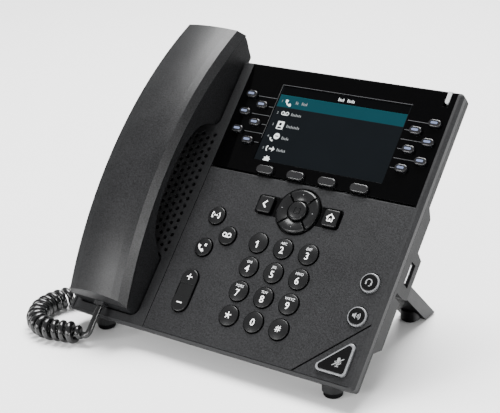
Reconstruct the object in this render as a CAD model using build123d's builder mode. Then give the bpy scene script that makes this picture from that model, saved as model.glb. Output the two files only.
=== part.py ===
from build123d import *

import os
from math import cos, pi, radians, sin, sqrt, tan

# A desk telephone with a colour display, a keypad and a corded handset.
# Most of it is laid out on the sloping front face.  There, x runs across the face to the
# right, y runs up the face and z stands out of it, all from the centre of the display.

# ---------------------------------------------------------------- driving dimensions, mm

# Where the face stands over the desk
TILT = 45.0
FACE_RIGHT = 30.0
FACE_BACK = 40.25
FACE_HEIGHT = 125.5

# Casing outline on the face, and its depths below the face
CASE_LEFT, CASE_RIGHT = -140.0, 80.0
CASE_BOTTOM, CASE_TOP = -157.0, 41.0
CASE_CORNER = 3.0
RIM_Z = 0.8
RIM_CHAMFER = 2.0
PARTING_Z = -4.7
PARTING_GAP = 0.15
WALL = 2.2
SKIN = 2.4

# Inset plates: keypad fascia below, gloss display panel above
PLATE_LEFT, PLATE_RIGHT = -77.6, 76.25
PLATE_BOTTOM, PLATE_TOP = -155.4, 40.4
PLATE_SPLIT = -37.7
PLATE_THICK = 2.0
PLATE_GAP = 0.35
LEDGE = 2.4

# Display window
WINDOW_W, WINDOW_H = 96.4, 55.2
SCREEN_Z = -0.5

# Message light
LIGHT_X, LIGHT_W = 70.2, 2.9

# Digit keys
DIGIT_HOLE_D = 14.7
DIGIT_CAP_D = 13.4
DIGIT_PITCH_X, DIGIT_PITCH_Y = 18.65, 16.75
DIGIT_X, DIGIT_TOP_Y = -0.3, -83.1
KEY_RISE = 1.8

# Round function keys
ROUND_HOLE_D = 13.7
ROUND_CAP_D = 12.3

# Volume rocker
ROCKER_X, ROCKER_Y = -57.0, -125.2
ROCKER_W, ROCKER_L = 12.3, 29.2

# Navigation cluster
NAV_X, NAV_Y = -0.3, -57.1
NAV_HOLE_D = 32.0
NAV_RING_D = 29.6
SELECT_D = 12.8
SIDE_KEY_W, SIDE_KEY_H = 10.6, 11.2
SIDE_KEY_REACH = 24.4

# Line keys and soft keys on the display panel
LINE_KEY_W, LINE_KEY_H = 8.4, 5.0
LINE_OUTER_X, LINE_INNER_X = 68.4, 57.5
LINE_TOP_Y, LINE_PITCH_Y = 17.25, 6.62
SOFT_KEY_W, SOFT_KEY_H = 12.8, 5.6
SOFT_PITCH_X, SOFT_Y = 23.5, -34.2
PANEL_KEY_RISE = 2.5

# Mute key: a right-angled triangle with rounded corners
MUTE_CORNER = (72.2, -150.9)
MUTE_LEG = 25.6
MUTE_ROUND = 3.0

# Cradle: two pockets with the loudspeaker grille between them
CRADLE_X = -110.5
POCKET_LEFT, POCKET_RIGHT = -135.6, -85.0
TUB_WALL = 1.4
POCKET_FLOOR_Z = -8.2
EAR_POCKET_BOTTOM = -9.2
MOUTH_POCKET_TOP, MOUTH_POCKET_BOTTOM = -104.5, -150.4
GRILLE_HOLE_D = 3.0
GRILLE_PITCH = 5.35
GRILLE_RIGHT, GRILLE_TOP = -84.7, -16.3
GRILLE_COLUMNS, GRILLE_ROWS = 11, 17

# Handset: an arched cover over a shell with an ear cup and a mouth cup
ARCH_Y, ARCH_Z = -48.2, -245.0
ARCH_R = 280.8
COVER_DEPTH = 6.2
HANDSET_HALF_W = 23.8
COVER_TOP_HALF_W = 20.5
CROWN = 2.4
CUP_BOTTOM_Z = -7.6
HANDSET_WALL = 2.0

# Desk stand
STAND_LEFT, STAND_RIGHT = -122.0, 62.0
STAND_FRONT_Y, STAND_BACK_Y = -79.0, -70.0
STAND_END_HEIGHT = 1.0
LEG_W = 19.0
ARCH_TOP_Z = -34.0
FOOT_HEIGHT = 4.0
FOOT_BOSS_BOTTOM, FOOT_BOSS_TOP = 2.0, 9.0
FOOT_BOSS_WALL = 1.6
REAR_FOOT_D = 10.0
REAR_FOOT_X = 82.5
REAR_FOOT_BACK = 9.0
FRONT_FOOT_D = 12.0
FRONT_FOOT_X = 88.65
FRONT_FOOT_BACK = -98.5

# Cord
WIRE_D = 4.2
COIL_D = 15.0

# ---------------------------------------------------------------- frame and helpers

SLOPE = radians(TILT)
UP_FACE = Vector(0, cos(SLOPE), sin(SLOPE))
OUT_OF_FACE = Vector(0, -sin(SLOPE), cos(SLOPE))
FACE = Plane(
    origin=(FACE_RIGHT, FACE_BACK, FACE_HEIGHT), x_dir=(1, 0, 0), z_dir=OUT_OF_FACE
)
CASE_MID = ((CASE_LEFT + CASE_RIGHT) / 2, (CASE_BOTTOM + CASE_TOP) / 2)
CASE_W = CASE_RIGHT - CASE_LEFT
CASE_H = CASE_TOP - CASE_BOTTOM

os.makedirs("parts", exist_ok=True)


def on_face(x, y, z):
    """World point of a place given on the face."""
    return FACE.from_local_coords(Vector(x, y, z))


def side_plane(x):
    """Plane across the face at x: its own x runs up the face and its own y stands out of it."""
    return Plane(origin=on_face(x, 0, 0), x_dir=UP_FACE, z_dir=(1, 0, 0))


def finish(part, name):
    """Label a finished piece and write it."""
    part.label = name
    export_step(part, f"parts/{name}.step")


def slab(x0, x1, points, mode=Mode.ADD):
    """Extrude an outline drawn in the side plane from x0 to x1, into the open BuildPart."""
    with BuildSketch(side_plane(x0)) as outline:
        with BuildLine():
            Polyline(*points, close=True)
        make_face()
    extrude(outline.sketch, amount=x1 - x0, mode=mode)


def prism(x0, x1, y0, y1, z0, z1, corner=0.0, mode=Mode.ADD):
    """A block on the face between two corners, with rounded upright edges if asked."""
    with BuildSketch(FACE.offset(z0)) as outline:
        with Locations(((x0 + x1) / 2, (y0 + y1) / 2)):
            if corner:
                RectangleRounded(x1 - x0, y1 - y0, corner)
            else:
                Rectangle(x1 - x0, y1 - y0)
    extrude(outline.sketch, amount=z1 - z0, mode=mode)


def disc(x, y, diameter, z0, z1, mode=Mode.ADD):
    """An upright cylinder on the face."""
    with BuildSketch(FACE.offset(z0)) as outline:
        with Locations((x, y)):
            Circle(diameter / 2)
    extrude(outline.sketch, amount=z1 - z0, mode=mode)


def arch_height(y, radius):
    """Height over the face of an arch about the handset's centre of curvature."""
    return ARCH_Z + sqrt(radius**2 - (y - ARCH_Y) ** 2)


def mute_outline(inset):
    """The mute key's triangle with rounded corners, smaller by inset all round."""
    corner_x = MUTE_CORNER[0] - inset
    corner_y = MUTE_CORNER[1] + inset
    leg = MUTE_LEG - inset * (2 + sqrt(2))
    with BuildSketch(mode=Mode.PRIVATE) as triangle:
        with BuildLine():
            Polyline(
                (corner_x, corner_y), (corner_x, corner_y + leg), (corner_x - leg, corner_y),
                close=True,
            )
        make_face()
        fillet(triangle.vertices(), radius=MUTE_ROUND - inset)
    return triangle.sketch_local


# ---------------------------------------------------------------- key layout

DIGIT_NAMES = [
    ["key_1", "key_2", "key_3"],
    ["key_4", "key_5", "key_6"],
    ["key_7", "key_8", "key_9"],
    ["key_star", "key_0", "key_hash"],
]
DIGIT_KEYS = {
    name: (DIGIT_X + (column - 1) * DIGIT_PITCH_X, DIGIT_TOP_Y - row * DIGIT_PITCH_Y)
    for row, names in enumerate(DIGIT_NAMES)
    for column, name in enumerate(names)
}
ROUND_KEYS = {
    "transfer_key": (-56.8, -71.6),
    "messages_key": (-42.9, -83.3),
    "hold_key": (-56.8, -94.4),
    "headset_key": (65.3, -91.3),
    "speaker_key": (65.3, -113.2),
}
SIDE_KEYS = {
    "back_key": (NAV_X - SIDE_KEY_REACH, NAV_Y),
    "home_key": (NAV_X + SIDE_KEY_REACH, NAV_Y),
}
LINE_KEYS = {}
for side, sign in (("left", -1), ("right", 1)):
    for row in range(6):
        reach = LINE_OUTER_X if row % 2 == 0 else LINE_INNER_X
        LINE_KEYS[f"line_key_{side}_{row + 1}"] = (sign * reach, LINE_TOP_Y - row * LINE_PITCH_Y)
SOFT_KEYS = {f"soft_key_{n + 1}": ((n - 1.5) * SOFT_PITCH_X, SOFT_Y) for n in range(4)}

# Screws by place on the face, with the level of the seat under each head
SCREWS = {(-81.3, 30.0): -17.0, (-81.3, -146.0): -13.9, (73.4, 30.0): -9.2, (30.0, -150.0): -13.5}
SCREW_R = 1.5
BOSS_D = 6.6

# ---------------------------------------------------------------- front housing

with BuildPart() as front_housing:
    with BuildSketch(FACE.offset(PARTING_Z)):
        with Locations(CASE_MID):
            RectangleRounded(CASE_W, CASE_H, CASE_CORNER)
    extrude(amount=RIM_Z - PARTING_Z)
    rim = front_housing.faces().sort_by(Axis(on_face(0, 0, 0), OUT_OF_FACE))[-1]
    chamfer(rim.edges(), length=RIM_CHAMFER)
    # hollow underneath, then the deck of the cradle stays level with the face
    prism(
        CASE_LEFT + WALL, CASE_RIGHT - WALL, CASE_BOTTOM + WALL, CASE_TOP - WALL,
        PARTING_Z, -SKIN - PLATE_THICK, mode=Mode.SUBTRACT,
    )
    prism(
        CASE_LEFT + WALL, PLATE_LEFT - LEDGE - 1.2, CASE_BOTTOM + WALL, CASE_TOP - WALL,
        PARTING_Z, -SKIN, mode=Mode.SUBTRACT,
    )
    # seat for the two plates, with a ledge round it and a bar between them
    prism(PLATE_LEFT, PLATE_RIGHT, PLATE_BOTTOM, PLATE_TOP, -PLATE_THICK, RIM_Z, mode=Mode.SUBTRACT)
    prism(
        PLATE_LEFT + LEDGE, PLATE_RIGHT - LEDGE, PLATE_BOTTOM + LEDGE, PLATE_TOP - LEDGE,
        PARTING_Z, RIM_Z, mode=Mode.SUBTRACT,
    )
    prism(
        PLATE_LEFT + 1, PLATE_RIGHT - 1, PLATE_SPLIT - 2.5, PLATE_SPLIT - 0.6,
        PARTING_Z, -PLATE_THICK - 0.05,
    )
    # the cradle side is flush with the face, inside its rim
    prism(CASE_LEFT + 3.4, PLATE_LEFT, CASE_BOTTOM + 1.6, CASE_TOP + 1, 0, RIM_Z, mode=Mode.SUBTRACT)
    # pocket tubs
    tub_bottom = POCKET_FLOOR_Z - WALL
    prism(
        POCKET_LEFT - TUB_WALL, POCKET_RIGHT + TUB_WALL, EAR_POCKET_BOTTOM - TUB_WALL, CASE_TOP,
        tub_bottom, -0.3,
    )
    prism(
        POCKET_LEFT - TUB_WALL, POCKET_RIGHT + TUB_WALL, MOUTH_POCKET_BOTTOM - TUB_WALL,
        MOUTH_POCKET_TOP + TUB_WALL, tub_bottom, -0.3,
    )
    prism(
        POCKET_LEFT, POCKET_RIGHT, EAR_POCKET_BOTTOM, CASE_TOP + 20, POCKET_FLOOR_Z, RIM_Z + 1,
        corner=5, mode=Mode.SUBTRACT,
    )
    prism(
        POCKET_LEFT, POCKET_RIGHT, MOUTH_POCKET_BOTTOM, MOUTH_POCKET_TOP, POCKET_FLOOR_Z, RIM_Z + 1,
        corner=6, mode=Mode.SUBTRACT,
    )
    # slot for the hook plunger in the ear pocket's floor
    prism(
        CRADLE_X - 6.3, CRADLE_X + 6.3, 8 - 3.3, 8 + 3.3, tub_bottom - 1, POCKET_FLOOR_Z + 1,
        corner=1.5, mode=Mode.SUBTRACT,
    )
    # loudspeaker grille: round holes on a triangular grid
    with BuildSketch(FACE.offset(-SKIN - 0.5)):
        for column in range(GRILLE_COLUMNS):
            stagger = GRILLE_PITCH / 2 if column % 2 else 0
            rows = GRILLE_ROWS - column % 2
            for row in range(rows):
                hole_x = GRILLE_RIGHT - column * GRILLE_PITCH * sqrt(3) / 2
                hole_y = GRILLE_TOP - stagger - row * GRILLE_PITCH
                with Locations((hole_x, hole_y)):
                    Circle(GRILLE_HOLE_D / 2)
    extrude(amount=SKIN + 2, mode=Mode.SUBTRACT)
    # screw bosses under the deck and the ledge
    for boss_x, boss_y in SCREWS:
        disc(boss_x, boss_y, BOSS_D, PARTING_Z, -PLATE_THICK - 0.1)
        disc(boss_x, boss_y, 2 * SCREW_R, PARTING_Z - 1, -PLATE_THICK - 0.6, mode=Mode.SUBTRACT)
    # notch for the message light in the top rim
    prism(
        LIGHT_X - LIGHT_W / 2 - 0.2, LIGHT_X + LIGHT_W / 2 + 0.2, 38, CASE_TOP + 1,
        -2.2, RIM_Z + 1, mode=Mode.SUBTRACT,
    )
finish(front_housing.part, "front_housing")

# ---------------------------------------------------------------- keypad fascia

with BuildPart() as keypad_fascia:
    prism(
        PLATE_LEFT + PLATE_GAP, PLATE_RIGHT - PLATE_GAP, PLATE_BOTTOM + PLATE_GAP,
        PLATE_SPLIT - PLATE_GAP, -PLATE_THICK, 0,
    )
    top_edge = keypad_fascia.edges().filter_by(Axis.X).group_by(Axis.Z)[-1]
    chamfer(top_edge, length=1.1)
    # shallow bed of the navigation cluster
    with BuildSketch(FACE.offset(-0.8)):
        with Locations((NAV_X, NAV_Y)):
            Circle(NAV_HOLE_D / 2 + 0.3)
            RectangleRounded(62.8, 13.8, 2.4)
    extrude(amount=2, mode=Mode.SUBTRACT)
    # key holes
    with BuildSketch(FACE.offset(-PLATE_THICK - 1)):
        with Locations(*DIGIT_KEYS.values()):
            Circle(DIGIT_HOLE_D / 2)
        with Locations(*ROUND_KEYS.values()):
            Circle(ROUND_HOLE_D / 2)
        with Locations(*SIDE_KEYS.values()):
            RectangleRounded(SIDE_KEY_W + 0.8, SIDE_KEY_H + 0.8, 1.9)
        with Locations((NAV_X, NAV_Y)):
            Circle(NAV_HOLE_D / 2)
        with Locations((ROCKER_X, ROCKER_Y)):
            SlotOverall(ROCKER_L + 1.0, ROCKER_W + 1.0, rotation=90)
    extrude(amount=PLATE_THICK + 2, mode=Mode.SUBTRACT)
    with BuildSketch(FACE.offset(-PLATE_THICK - 1)):
        add(mute_outline(0))
    extrude(amount=PLATE_THICK + 2, mode=Mode.SUBTRACT)
    # diagonal groove that sets the mute key's corner apart
    with BuildSketch(FACE.offset(-0.8)):
        with Locations((56.3, -135.3)):
            Rectangle(62, 1.1, rotation=45)
    extrude(amount=2, mode=Mode.SUBTRACT)
finish(keypad_fascia.part, "keypad_fascia")

# ---------------------------------------------------------------- display panel, screen, light

with BuildPart() as display_panel:
    prism(
        PLATE_LEFT + PLATE_GAP, PLATE_RIGHT - PLATE_GAP, PLATE_SPLIT + PLATE_GAP,
        PLATE_TOP - PLATE_GAP, -PLATE_THICK, 0,
    )
    prism(
        -WINDOW_W / 2, WINDOW_W / 2, -WINDOW_H / 2, WINDOW_H / 2, -PLATE_THICK - 1, 1,
        mode=Mode.SUBTRACT,
    )
    with BuildSketch(FACE.offset(-PLATE_THICK - 1)):
        with Locations(*LINE_KEYS.values()):
            SlotOverall(LINE_KEY_W + 0.6, LINE_KEY_H + 0.6)
        with Locations(*SOFT_KEYS.values()):
            SlotOverall(SOFT_KEY_W + 0.6, SOFT_KEY_H + 0.6)
        with Locations((LIGHT_X, 35.6)):
            Rectangle(LIGHT_W + 0.5, 10.6)
    extrude(amount=PLATE_THICK + 2, mode=Mode.SUBTRACT)
finish(display_panel.part, "display_panel")

with BuildPart() as lcd_screen:
    prism(-49.5, 49.5, -29.2, 29.2, -6.6, -PLATE_THICK - 0.1)
    prism(
        -WINDOW_W / 2 + 0.15, WINDOW_W / 2 - 0.15, -WINDOW_H / 2 + 0.15, WINDOW_H / 2 - 0.15,
        -PLATE_THICK - 0.2, SCREEN_Z,
    )
finish(lcd_screen.part, "lcd_screen")

with BuildPart() as light_bar:
    with BuildSketch(FACE.offset(-PLATE_THICK + 0.05)):
        with Locations((LIGHT_X, 36.7)):
            SlotOverall(8.6, LIGHT_W, rotation=90)
        with Locations((LIGHT_X, 38.9)):
            Rectangle(LIGHT_W, 4.2)
    extrude(amount=PLATE_THICK + 0.1)
    fillet(light_bar.faces().sort_by(Axis(on_face(0, 0, 0), OUT_OF_FACE))[-1].edges(), radius=0.3)
finish(light_bar.part, "light_bar")

# ---------------------------------------------------------------- rear housing

BOX_Z = -15.9
USB_Z = -24.2
REAR_SKIRT_Z = -9.2
FRONT_SKIRT_Z = -7.0
CRADLE_BULGE_Z = -17.0
PAN_LEFT, PAN_RIGHT = -139.4, 72.0
BULGE_RIGHT = -77.0
REAR_TOP_Z = PARTING_Z - PARTING_GAP
PORT_Y = -109.0
PORTS = {
    "handset": (-70.0, 7.8, 7.0),
    "headset": (-48.0, 7.8, 7.0),
    "network": (-22.0, 12.0, 10.4),
    "computer": (0.0, 12.0, 10.4),
    "power": (22.0, 9.0, 10.4),
}
GROOVES, GROOVE_LEFT, GROOVE_PITCH = 13, -40.0, 7.0
GROOVE_W, GROOVE_DEPTH = 2.4, 0.9
USB_Y, USB_Z_MID = -76.0, -15.6
USB_L, USB_H = 15.2, 6.6


with BuildPart() as rear_housing:
    # main tray with its stepped back
    slab(CASE_LEFT, CASE_RIGHT, [
        (CASE_BOTTOM + 0.3, REAR_TOP_Z), (CASE_TOP - 0.4, REAR_TOP_Z), (38.8, REAR_SKIRT_Z),
        (-33.7, REAR_SKIRT_Z), (-38.7, BOX_Z), (-125.2, BOX_Z), (-130.5, FRONT_SKIRT_Z),
        (-156.2, FRONT_SKIRT_Z),
    ])
    # deeper front pan and cradle bulge, inboard of the edges
    slab(PAN_LEFT, PAN_RIGHT, [(-155.0, -6), (-153.6, -13.6), (-128, BOX_Z), (-125, -6)])
    slab(PAN_LEFT, BULGE_RIGHT, [
        (-36, -8), (-36, CRADLE_BULGE_Z), (36.4, CRADLE_BULGE_Z), (39.2, -8),
    ])
    # outline corners
    with BuildSketch(FACE.offset(-60)):
        with Locations(CASE_MID):
            RectangleRounded(CASE_W, CASE_H, CASE_CORNER)
    extrude(amount=60, mode=Mode.INTERSECT)
    # side box of the USB port
    slab(46, CASE_RIGHT - 0.2, [(-60.6, -15), (-63.3, USB_Z), (-89.6, USB_Z), (-91.2, -15)])
    # bosses that carry the front feet, upright over the desk
    for foot_x in (-FRONT_FOOT_X, FRONT_FOOT_X):
        foot_spot = (foot_x, FRONT_FOOT_BACK + FACE_BACK)
        with BuildSketch(Plane.XY.offset(FOOT_HEIGHT)):
            with Locations(foot_spot):
                Circle(FRONT_FOOT_D / 2 + 0.8)
        extrude(amount=13.0)
    prism(CASE_LEFT, CASE_RIGHT, CASE_BOTTOM, CASE_TOP, REAR_TOP_Z, 20, mode=Mode.SUBTRACT)
    # hollow
    floor = BOX_Z + WALL
    slab(CASE_LEFT + WALL, CASE_RIGHT - WALL, [
        (CASE_BOTTOM + 2.5, -4), (CASE_TOP - 2.6, -4), (37.0, REAR_SKIRT_Z + WALL),
        (-34.8, REAR_SKIRT_Z + WALL), (-39.8, floor), (-124, floor), (-129.3, -4.9),
        (CASE_BOTTOM + 2.5, -4.9),
    ], mode=Mode.SUBTRACT)
    slab(PAN_LEFT + WALL, PAN_RIGHT - WALL, [
        (-153.2, -4), (-152.2, -11.4), (-127, floor), (-120, floor), (-120, -4),
    ], mode=Mode.SUBTRACT)
    slab(PAN_LEFT + WALL, BULGE_RIGHT - WALL, [
        (-34, -4), (-34, CRADLE_BULGE_Z + WALL), (34.6, CRADLE_BULGE_Z + WALL), (37.4, -4),
    ], mode=Mode.SUBTRACT)
    # way out for the ear pocket at the top edge
    prism(
        POCKET_LEFT - TUB_WALL - 0.3, POCKET_RIGHT + TUB_WALL + 0.3, 30, CASE_TOP + 1,
        POCKET_FLOOR_Z - WALL - 0.3, 0, mode=Mode.SUBTRACT,
    )
    slab(46 + WALL, CASE_RIGHT - 0.2 - WALL, [
        (-63, -12), (-65.4, USB_Z + WALL), (-87.6, USB_Z + WALL), (-89, -12),
    ], mode=Mode.SUBTRACT)
    # USB port through the right side
    with BuildSketch(side_plane(CASE_RIGHT + 1)):
        with Locations((USB_Y, USB_Z_MID)):
            Rectangle(USB_L, USB_H)
    extrude(amount=-WALL - 3, mode=Mode.SUBTRACT)
    # finger notch under the USB box
    slab(72, CASE_RIGHT + 1, [(-91.0, -8), (-91.0, -26), (-94.4, -26), (-94.4, -8)], mode=Mode.SUBTRACT)
    slab(70, CASE_RIGHT - 0.2, [
        (-97.0, -15.6), (-94.4, -14.4), (-94.4, -8), (-91, -8), (-91, -5.2), (-97, -5.2),
    ])
    # port row in the lower box
    for port_x, port_w, port_h in PORTS.values():
        prism(
            port_x - port_w / 2, port_x + port_w / 2, PORT_Y - port_h / 2, PORT_Y + port_h / 2,
            BOX_Z - 1, floor + 0.5, mode=Mode.SUBTRACT,
        )
    # row of shallow grooves across the upper back, and a recess for a rating plate
    for groove in range(GROOVES):
        groove_x = GROOVE_LEFT + groove * GROOVE_PITCH
        prism(
            groove_x, groove_x + GROOVE_W, -4, 18, REAR_SKIRT_Z - 1, REAR_SKIRT_Z + GROOVE_DEPTH,
            mode=Mode.SUBTRACT,
        )
    prism(-46, 10, -58.5, -43.5, BOX_Z - 1, BOX_Z + 0.3, corner=1.5, mode=Mode.SUBTRACT)
    # screw holes
    for (boss_x, boss_y), seat in SCREWS.items():
        disc(boss_x, boss_y, 2 * SCREW_R + 0.3, seat - 10, 0, mode=Mode.SUBTRACT)
        disc(boss_x, boss_y, 6.4, seat - 10, seat, mode=Mode.SUBTRACT)
finish(rear_housing.part, "rear_housing")

# ---------------------------------------------------------------- screws

with BuildPart() as housing_screws:
    for (screw_x, screw_y), seat in SCREWS.items():
        disc(screw_x, screw_y, 2 * SCREW_R - 0.1, seat - 0.5, -PLATE_THICK - 0.8)
        disc(screw_x, screw_y, 5.6, seat - 2.0, seat - 0.1)
        disc(screw_x, screw_y, 1.6, seat - 2.1, seat - 1.0, mode=Mode.SUBTRACT)
finish(housing_screws.part, "housing_screws")

# ---------------------------------------------------------------- internals

MAT_TOP = -5.8
BOARD_TOP = -6.8
BOARD_BOTTOM = -8.4

with BuildPart() as key_mat:
    prism(-75, 69, -150.2, -41.6, BOARD_TOP, MAT_TOP, corner=2)
    disc(NAV_X, NAV_Y, 22.5, BOARD_TOP - 1, MAT_TOP + 1, mode=Mode.SUBTRACT)
    for screw_x, screw_y in SCREWS:
        disc(screw_x, screw_y, BOSS_D + 1.4, BOARD_TOP - 1, MAT_TOP + 1, mode=Mode.SUBTRACT)
    prism(-74.5, -52, -20, 21.5, -6.95, -5.3, corner=1.5)
    prism(52, 74.5, -20, 21.5, -6.95, -5.3, corner=1.5)
    prism(-44, 44, -37.4, -31, -6.95, -5.3, corner=1.5)
finish(key_mat.part, "key_mat")

with BuildPart() as main_board:
    prism(-75, 69, -148.8, -42, BOARD_BOTTOM, BOARD_TOP)
    disc(NAV_X, NAV_Y, 22.5, BOARD_BOTTOM - 1, BOARD_TOP + 1, mode=Mode.SUBTRACT)
    for screw_x, screw_y in SCREWS:
        disc(screw_x, screw_y, BOSS_D + 1.4, BOARD_BOTTOM - 1, BOARD_TOP + 1, mode=Mode.SUBTRACT)
    # sockets soldered to the board, each open at the back
    for port_x, port_w, port_h in PORTS.values():
        prism(
            port_x - port_w / 2 - 1.6, port_x + port_w / 2 + 1.6, PORT_Y - port_h / 2 - 1.6,
            PORT_Y + port_h / 2 + 1.6, BOX_Z + WALL + 0.1, BOARD_BOTTOM,
        )
        prism(
            port_x - port_w / 2, port_x + port_w / 2, PORT_Y - port_h / 2, PORT_Y + port_h / 2,
            BOX_Z, BOARD_BOTTOM - 0.8, mode=Mode.SUBTRACT,
        )
finish(main_board.part, "main_board")

with BuildPart() as loudspeaker:
    with BuildSketch(Plane(origin=on_face(CRADLE_X, -57, 0), x_dir=(1, 0, 0), z_dir=-UP_FACE)):
        with BuildLine():
            Polyline(
                (0, -11.5), (13, -11.5), (13, -8.5), (22, -5.0), (24, -5.0), (24, -2.9), (21.5, -2.9),
                (20.5, -3.6), (8, -7.0), (0, -5.6), close=True,
            )
        make_face()
    revolve(axis=Axis(on_face(CRADLE_X, -57, 0), OUT_OF_FACE))
finish(loudspeaker.part, "loudspeaker")

# ---------------------------------------------------------------- keys


def dome_arc(reach, edge_z, middle_z):
    """Arc from a rim to the axis, square to the axis there; it dishes if the middle is lower."""
    sag = middle_z - edge_z
    radius = (reach**2 + sag**2) / (2 * abs(sag))
    half = radius - sqrt(radius**2 - reach**2 / 4)
    mid_z = middle_z - half if sag > 0 else middle_z + half
    ThreePointArc((reach, edge_z), (reach / 2, mid_z), (0, middle_z))


def spun_key(name, x, y, cap_d, hole_d, rise, dome):
    """A round key: domed cap, retaining flange under the plate and a short stem."""
    r = cap_d / 2
    flange = hole_d / 2 + 0.5
    with BuildPart() as key:
        with BuildSketch(Plane(origin=on_face(x, y, 0), x_dir=(1, 0, 0), z_dir=-UP_FACE)):
            with BuildLine():
                Polyline((0, rise), (0, -4.4), (3, -4.4), (3, -3.2), (flange, -3.2),
                         (flange, -2.4), (r, -2.4), (r, rise - dome - 0.5))
                ThreePointArc(
                    (r, rise - dome - 0.5), (r - 0.16, rise - dome - 0.14), (r - 0.5, rise - dome)
                )
                dome_arc(r - 0.5, rise - dome, rise)
            make_face()
        revolve(axis=Axis(on_face(x, y, 0), OUT_OF_FACE))
    finish(key.part, name)


def pill_key(name, x, y, width, height, rise):
    """A pill-shaped key on the display panel."""
    with BuildPart() as key:
        with BuildSketch(FACE.offset(-2.4)):
            with Locations((x, y)):
                SlotOverall(width, height)
        extrude(amount=rise + 2.4)
        crown = key.faces().sort_by(Axis(on_face(0, 0, 0), OUT_OF_FACE))[-1]
        fillet(crown.edges(), radius=0.7)
        with BuildSketch(FACE.offset(-3.2)):
            with Locations((x, y)):
                SlotOverall(width + 1.6, height + 1.4)
        extrude(amount=0.8)
        disc(x, y, 3.2, -4.0, -3.1)
    finish(key.part, name)


for digit_name, (key_x, key_y) in DIGIT_KEYS.items():
    spun_key(digit_name, key_x, key_y, DIGIT_CAP_D, DIGIT_HOLE_D, KEY_RISE, 0.7)
for round_name, (key_x, key_y) in ROUND_KEYS.items():
    spun_key(round_name, key_x, key_y, ROUND_CAP_D, ROUND_HOLE_D, KEY_RISE, 0.4)
for line_name, (key_x, key_y) in LINE_KEYS.items():
    pill_key(line_name, key_x, key_y, LINE_KEY_W, LINE_KEY_H, PANEL_KEY_RISE)
for soft_name, (key_x, key_y) in SOFT_KEYS.items():
    pill_key(soft_name, key_x, key_y, SOFT_KEY_W, SOFT_KEY_H, PANEL_KEY_RISE)

for side_name, (key_x, key_y) in SIDE_KEYS.items():
    with BuildPart() as side_key:
        with BuildSketch(FACE.offset(-2.4)):
            with Locations((key_x, key_y)):
                RectangleRounded(SIDE_KEY_W, SIDE_KEY_H, 1.6)
        extrude(amount=KEY_RISE + 0.2 + 2.4)
        crown = side_key.faces().sort_by(Axis(on_face(0, 0, 0), OUT_OF_FACE))[-1]
        fillet(crown.edges(), radius=0.9)
        prism(
            key_x - 6.2, key_x + 6.2, key_y - 6.5, key_y + 6.5, -3.2, -2.4, corner=1.6,
        )
        disc(key_x, key_y, 6, -4.4, -3.1)
    finish(side_key.part, side_name)

with BuildPart() as mute_key:
    with BuildSketch(FACE.offset(-2.4)):
        add(mute_outline(0.4))
    extrude(amount=KEY_RISE + 0.2 + 2.4)
    crown = mute_key.faces().sort_by(Axis(on_face(0, 0, 0), OUT_OF_FACE))[-1]
    fillet(crown.edges(), radius=0.6)
    with BuildSketch(FACE.offset(-3.2)):
        add(mute_outline(-0.5))
    extrude(amount=0.8)
    disc(65.5, -144.5, 6, -4.4, -3.1)
finish(mute_key.part, "mute_key")

# select key, standing through the navigation ring
with BuildPart() as select_key:
    with BuildSketch(Plane(origin=on_face(NAV_X, NAV_Y, 0), x_dir=(1, 0, 0), z_dir=-UP_FACE)):
        with BuildLine():
            Polyline((0, 1.9), (0, -4.6), (2.6, -4.6), (2.6, -1.6), (SELECT_D / 2, -1.6),
                     (SELECT_D / 2, 1.7))
            ThreePointArc((SELECT_D / 2, 1.7), (SELECT_D / 2 - 0.3, 2.3), (SELECT_D / 2 - 1.1, 2.6))
            dome_arc(SELECT_D / 2 - 1.1, 2.6, 1.9)
        make_face()
    revolve(axis=Axis(on_face(NAV_X, NAV_Y, 0), OUT_OF_FACE))
finish(select_key.part, "select_key")

# navigation ring: four pads on one rocking ring
with BuildPart() as nav_ring:
    ring_r = NAV_RING_D / 2
    with BuildSketch(Plane(origin=on_face(NAV_X, NAV_Y, 0), x_dir=(1, 0, 0), z_dir=-UP_FACE)):
        with BuildLine():
            Polyline((7.6, 0.9), (7.6, -3.0), (5.0, -3.3), (5.0, -4.2), (ring_r + 1.8, -4.2),
                     (ring_r + 1.8, -3.3), (ring_r, -3.3), (ring_r, 0.9))
            ThreePointArc((ring_r, 0.9), (ring_r - 0.5, 1.7), (ring_r - 1.6, 2.1))
            ThreePointArc((ring_r - 1.6, 2.1), (11.0, 1.9), (7.6, 0.9))
        make_face()
    revolve(axis=Axis(on_face(NAV_X, NAV_Y, 0), OUT_OF_FACE))
    with BuildSketch(FACE.offset(0.1)):
        with Locations((NAV_X, NAV_Y)):
            Rectangle(NAV_RING_D + 2, 1.5, rotation=47)
            Rectangle(NAV_RING_D + 2, 1.5, rotation=-47)
    extrude(amount=3, mode=Mode.SUBTRACT)
finish(nav_ring.part, "nav_ring")

# gimbal under the ring
with BuildPart() as nav_pivot:
    with BuildSketch(FACE.offset(-6.1)):
        with Locations((NAV_X, NAV_Y)):
            Circle(9.4)
            Circle(6.4, mode=Mode.SUBTRACT)
    extrude(amount=1.1)
finish(nav_pivot.part, "nav_pivot")

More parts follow.
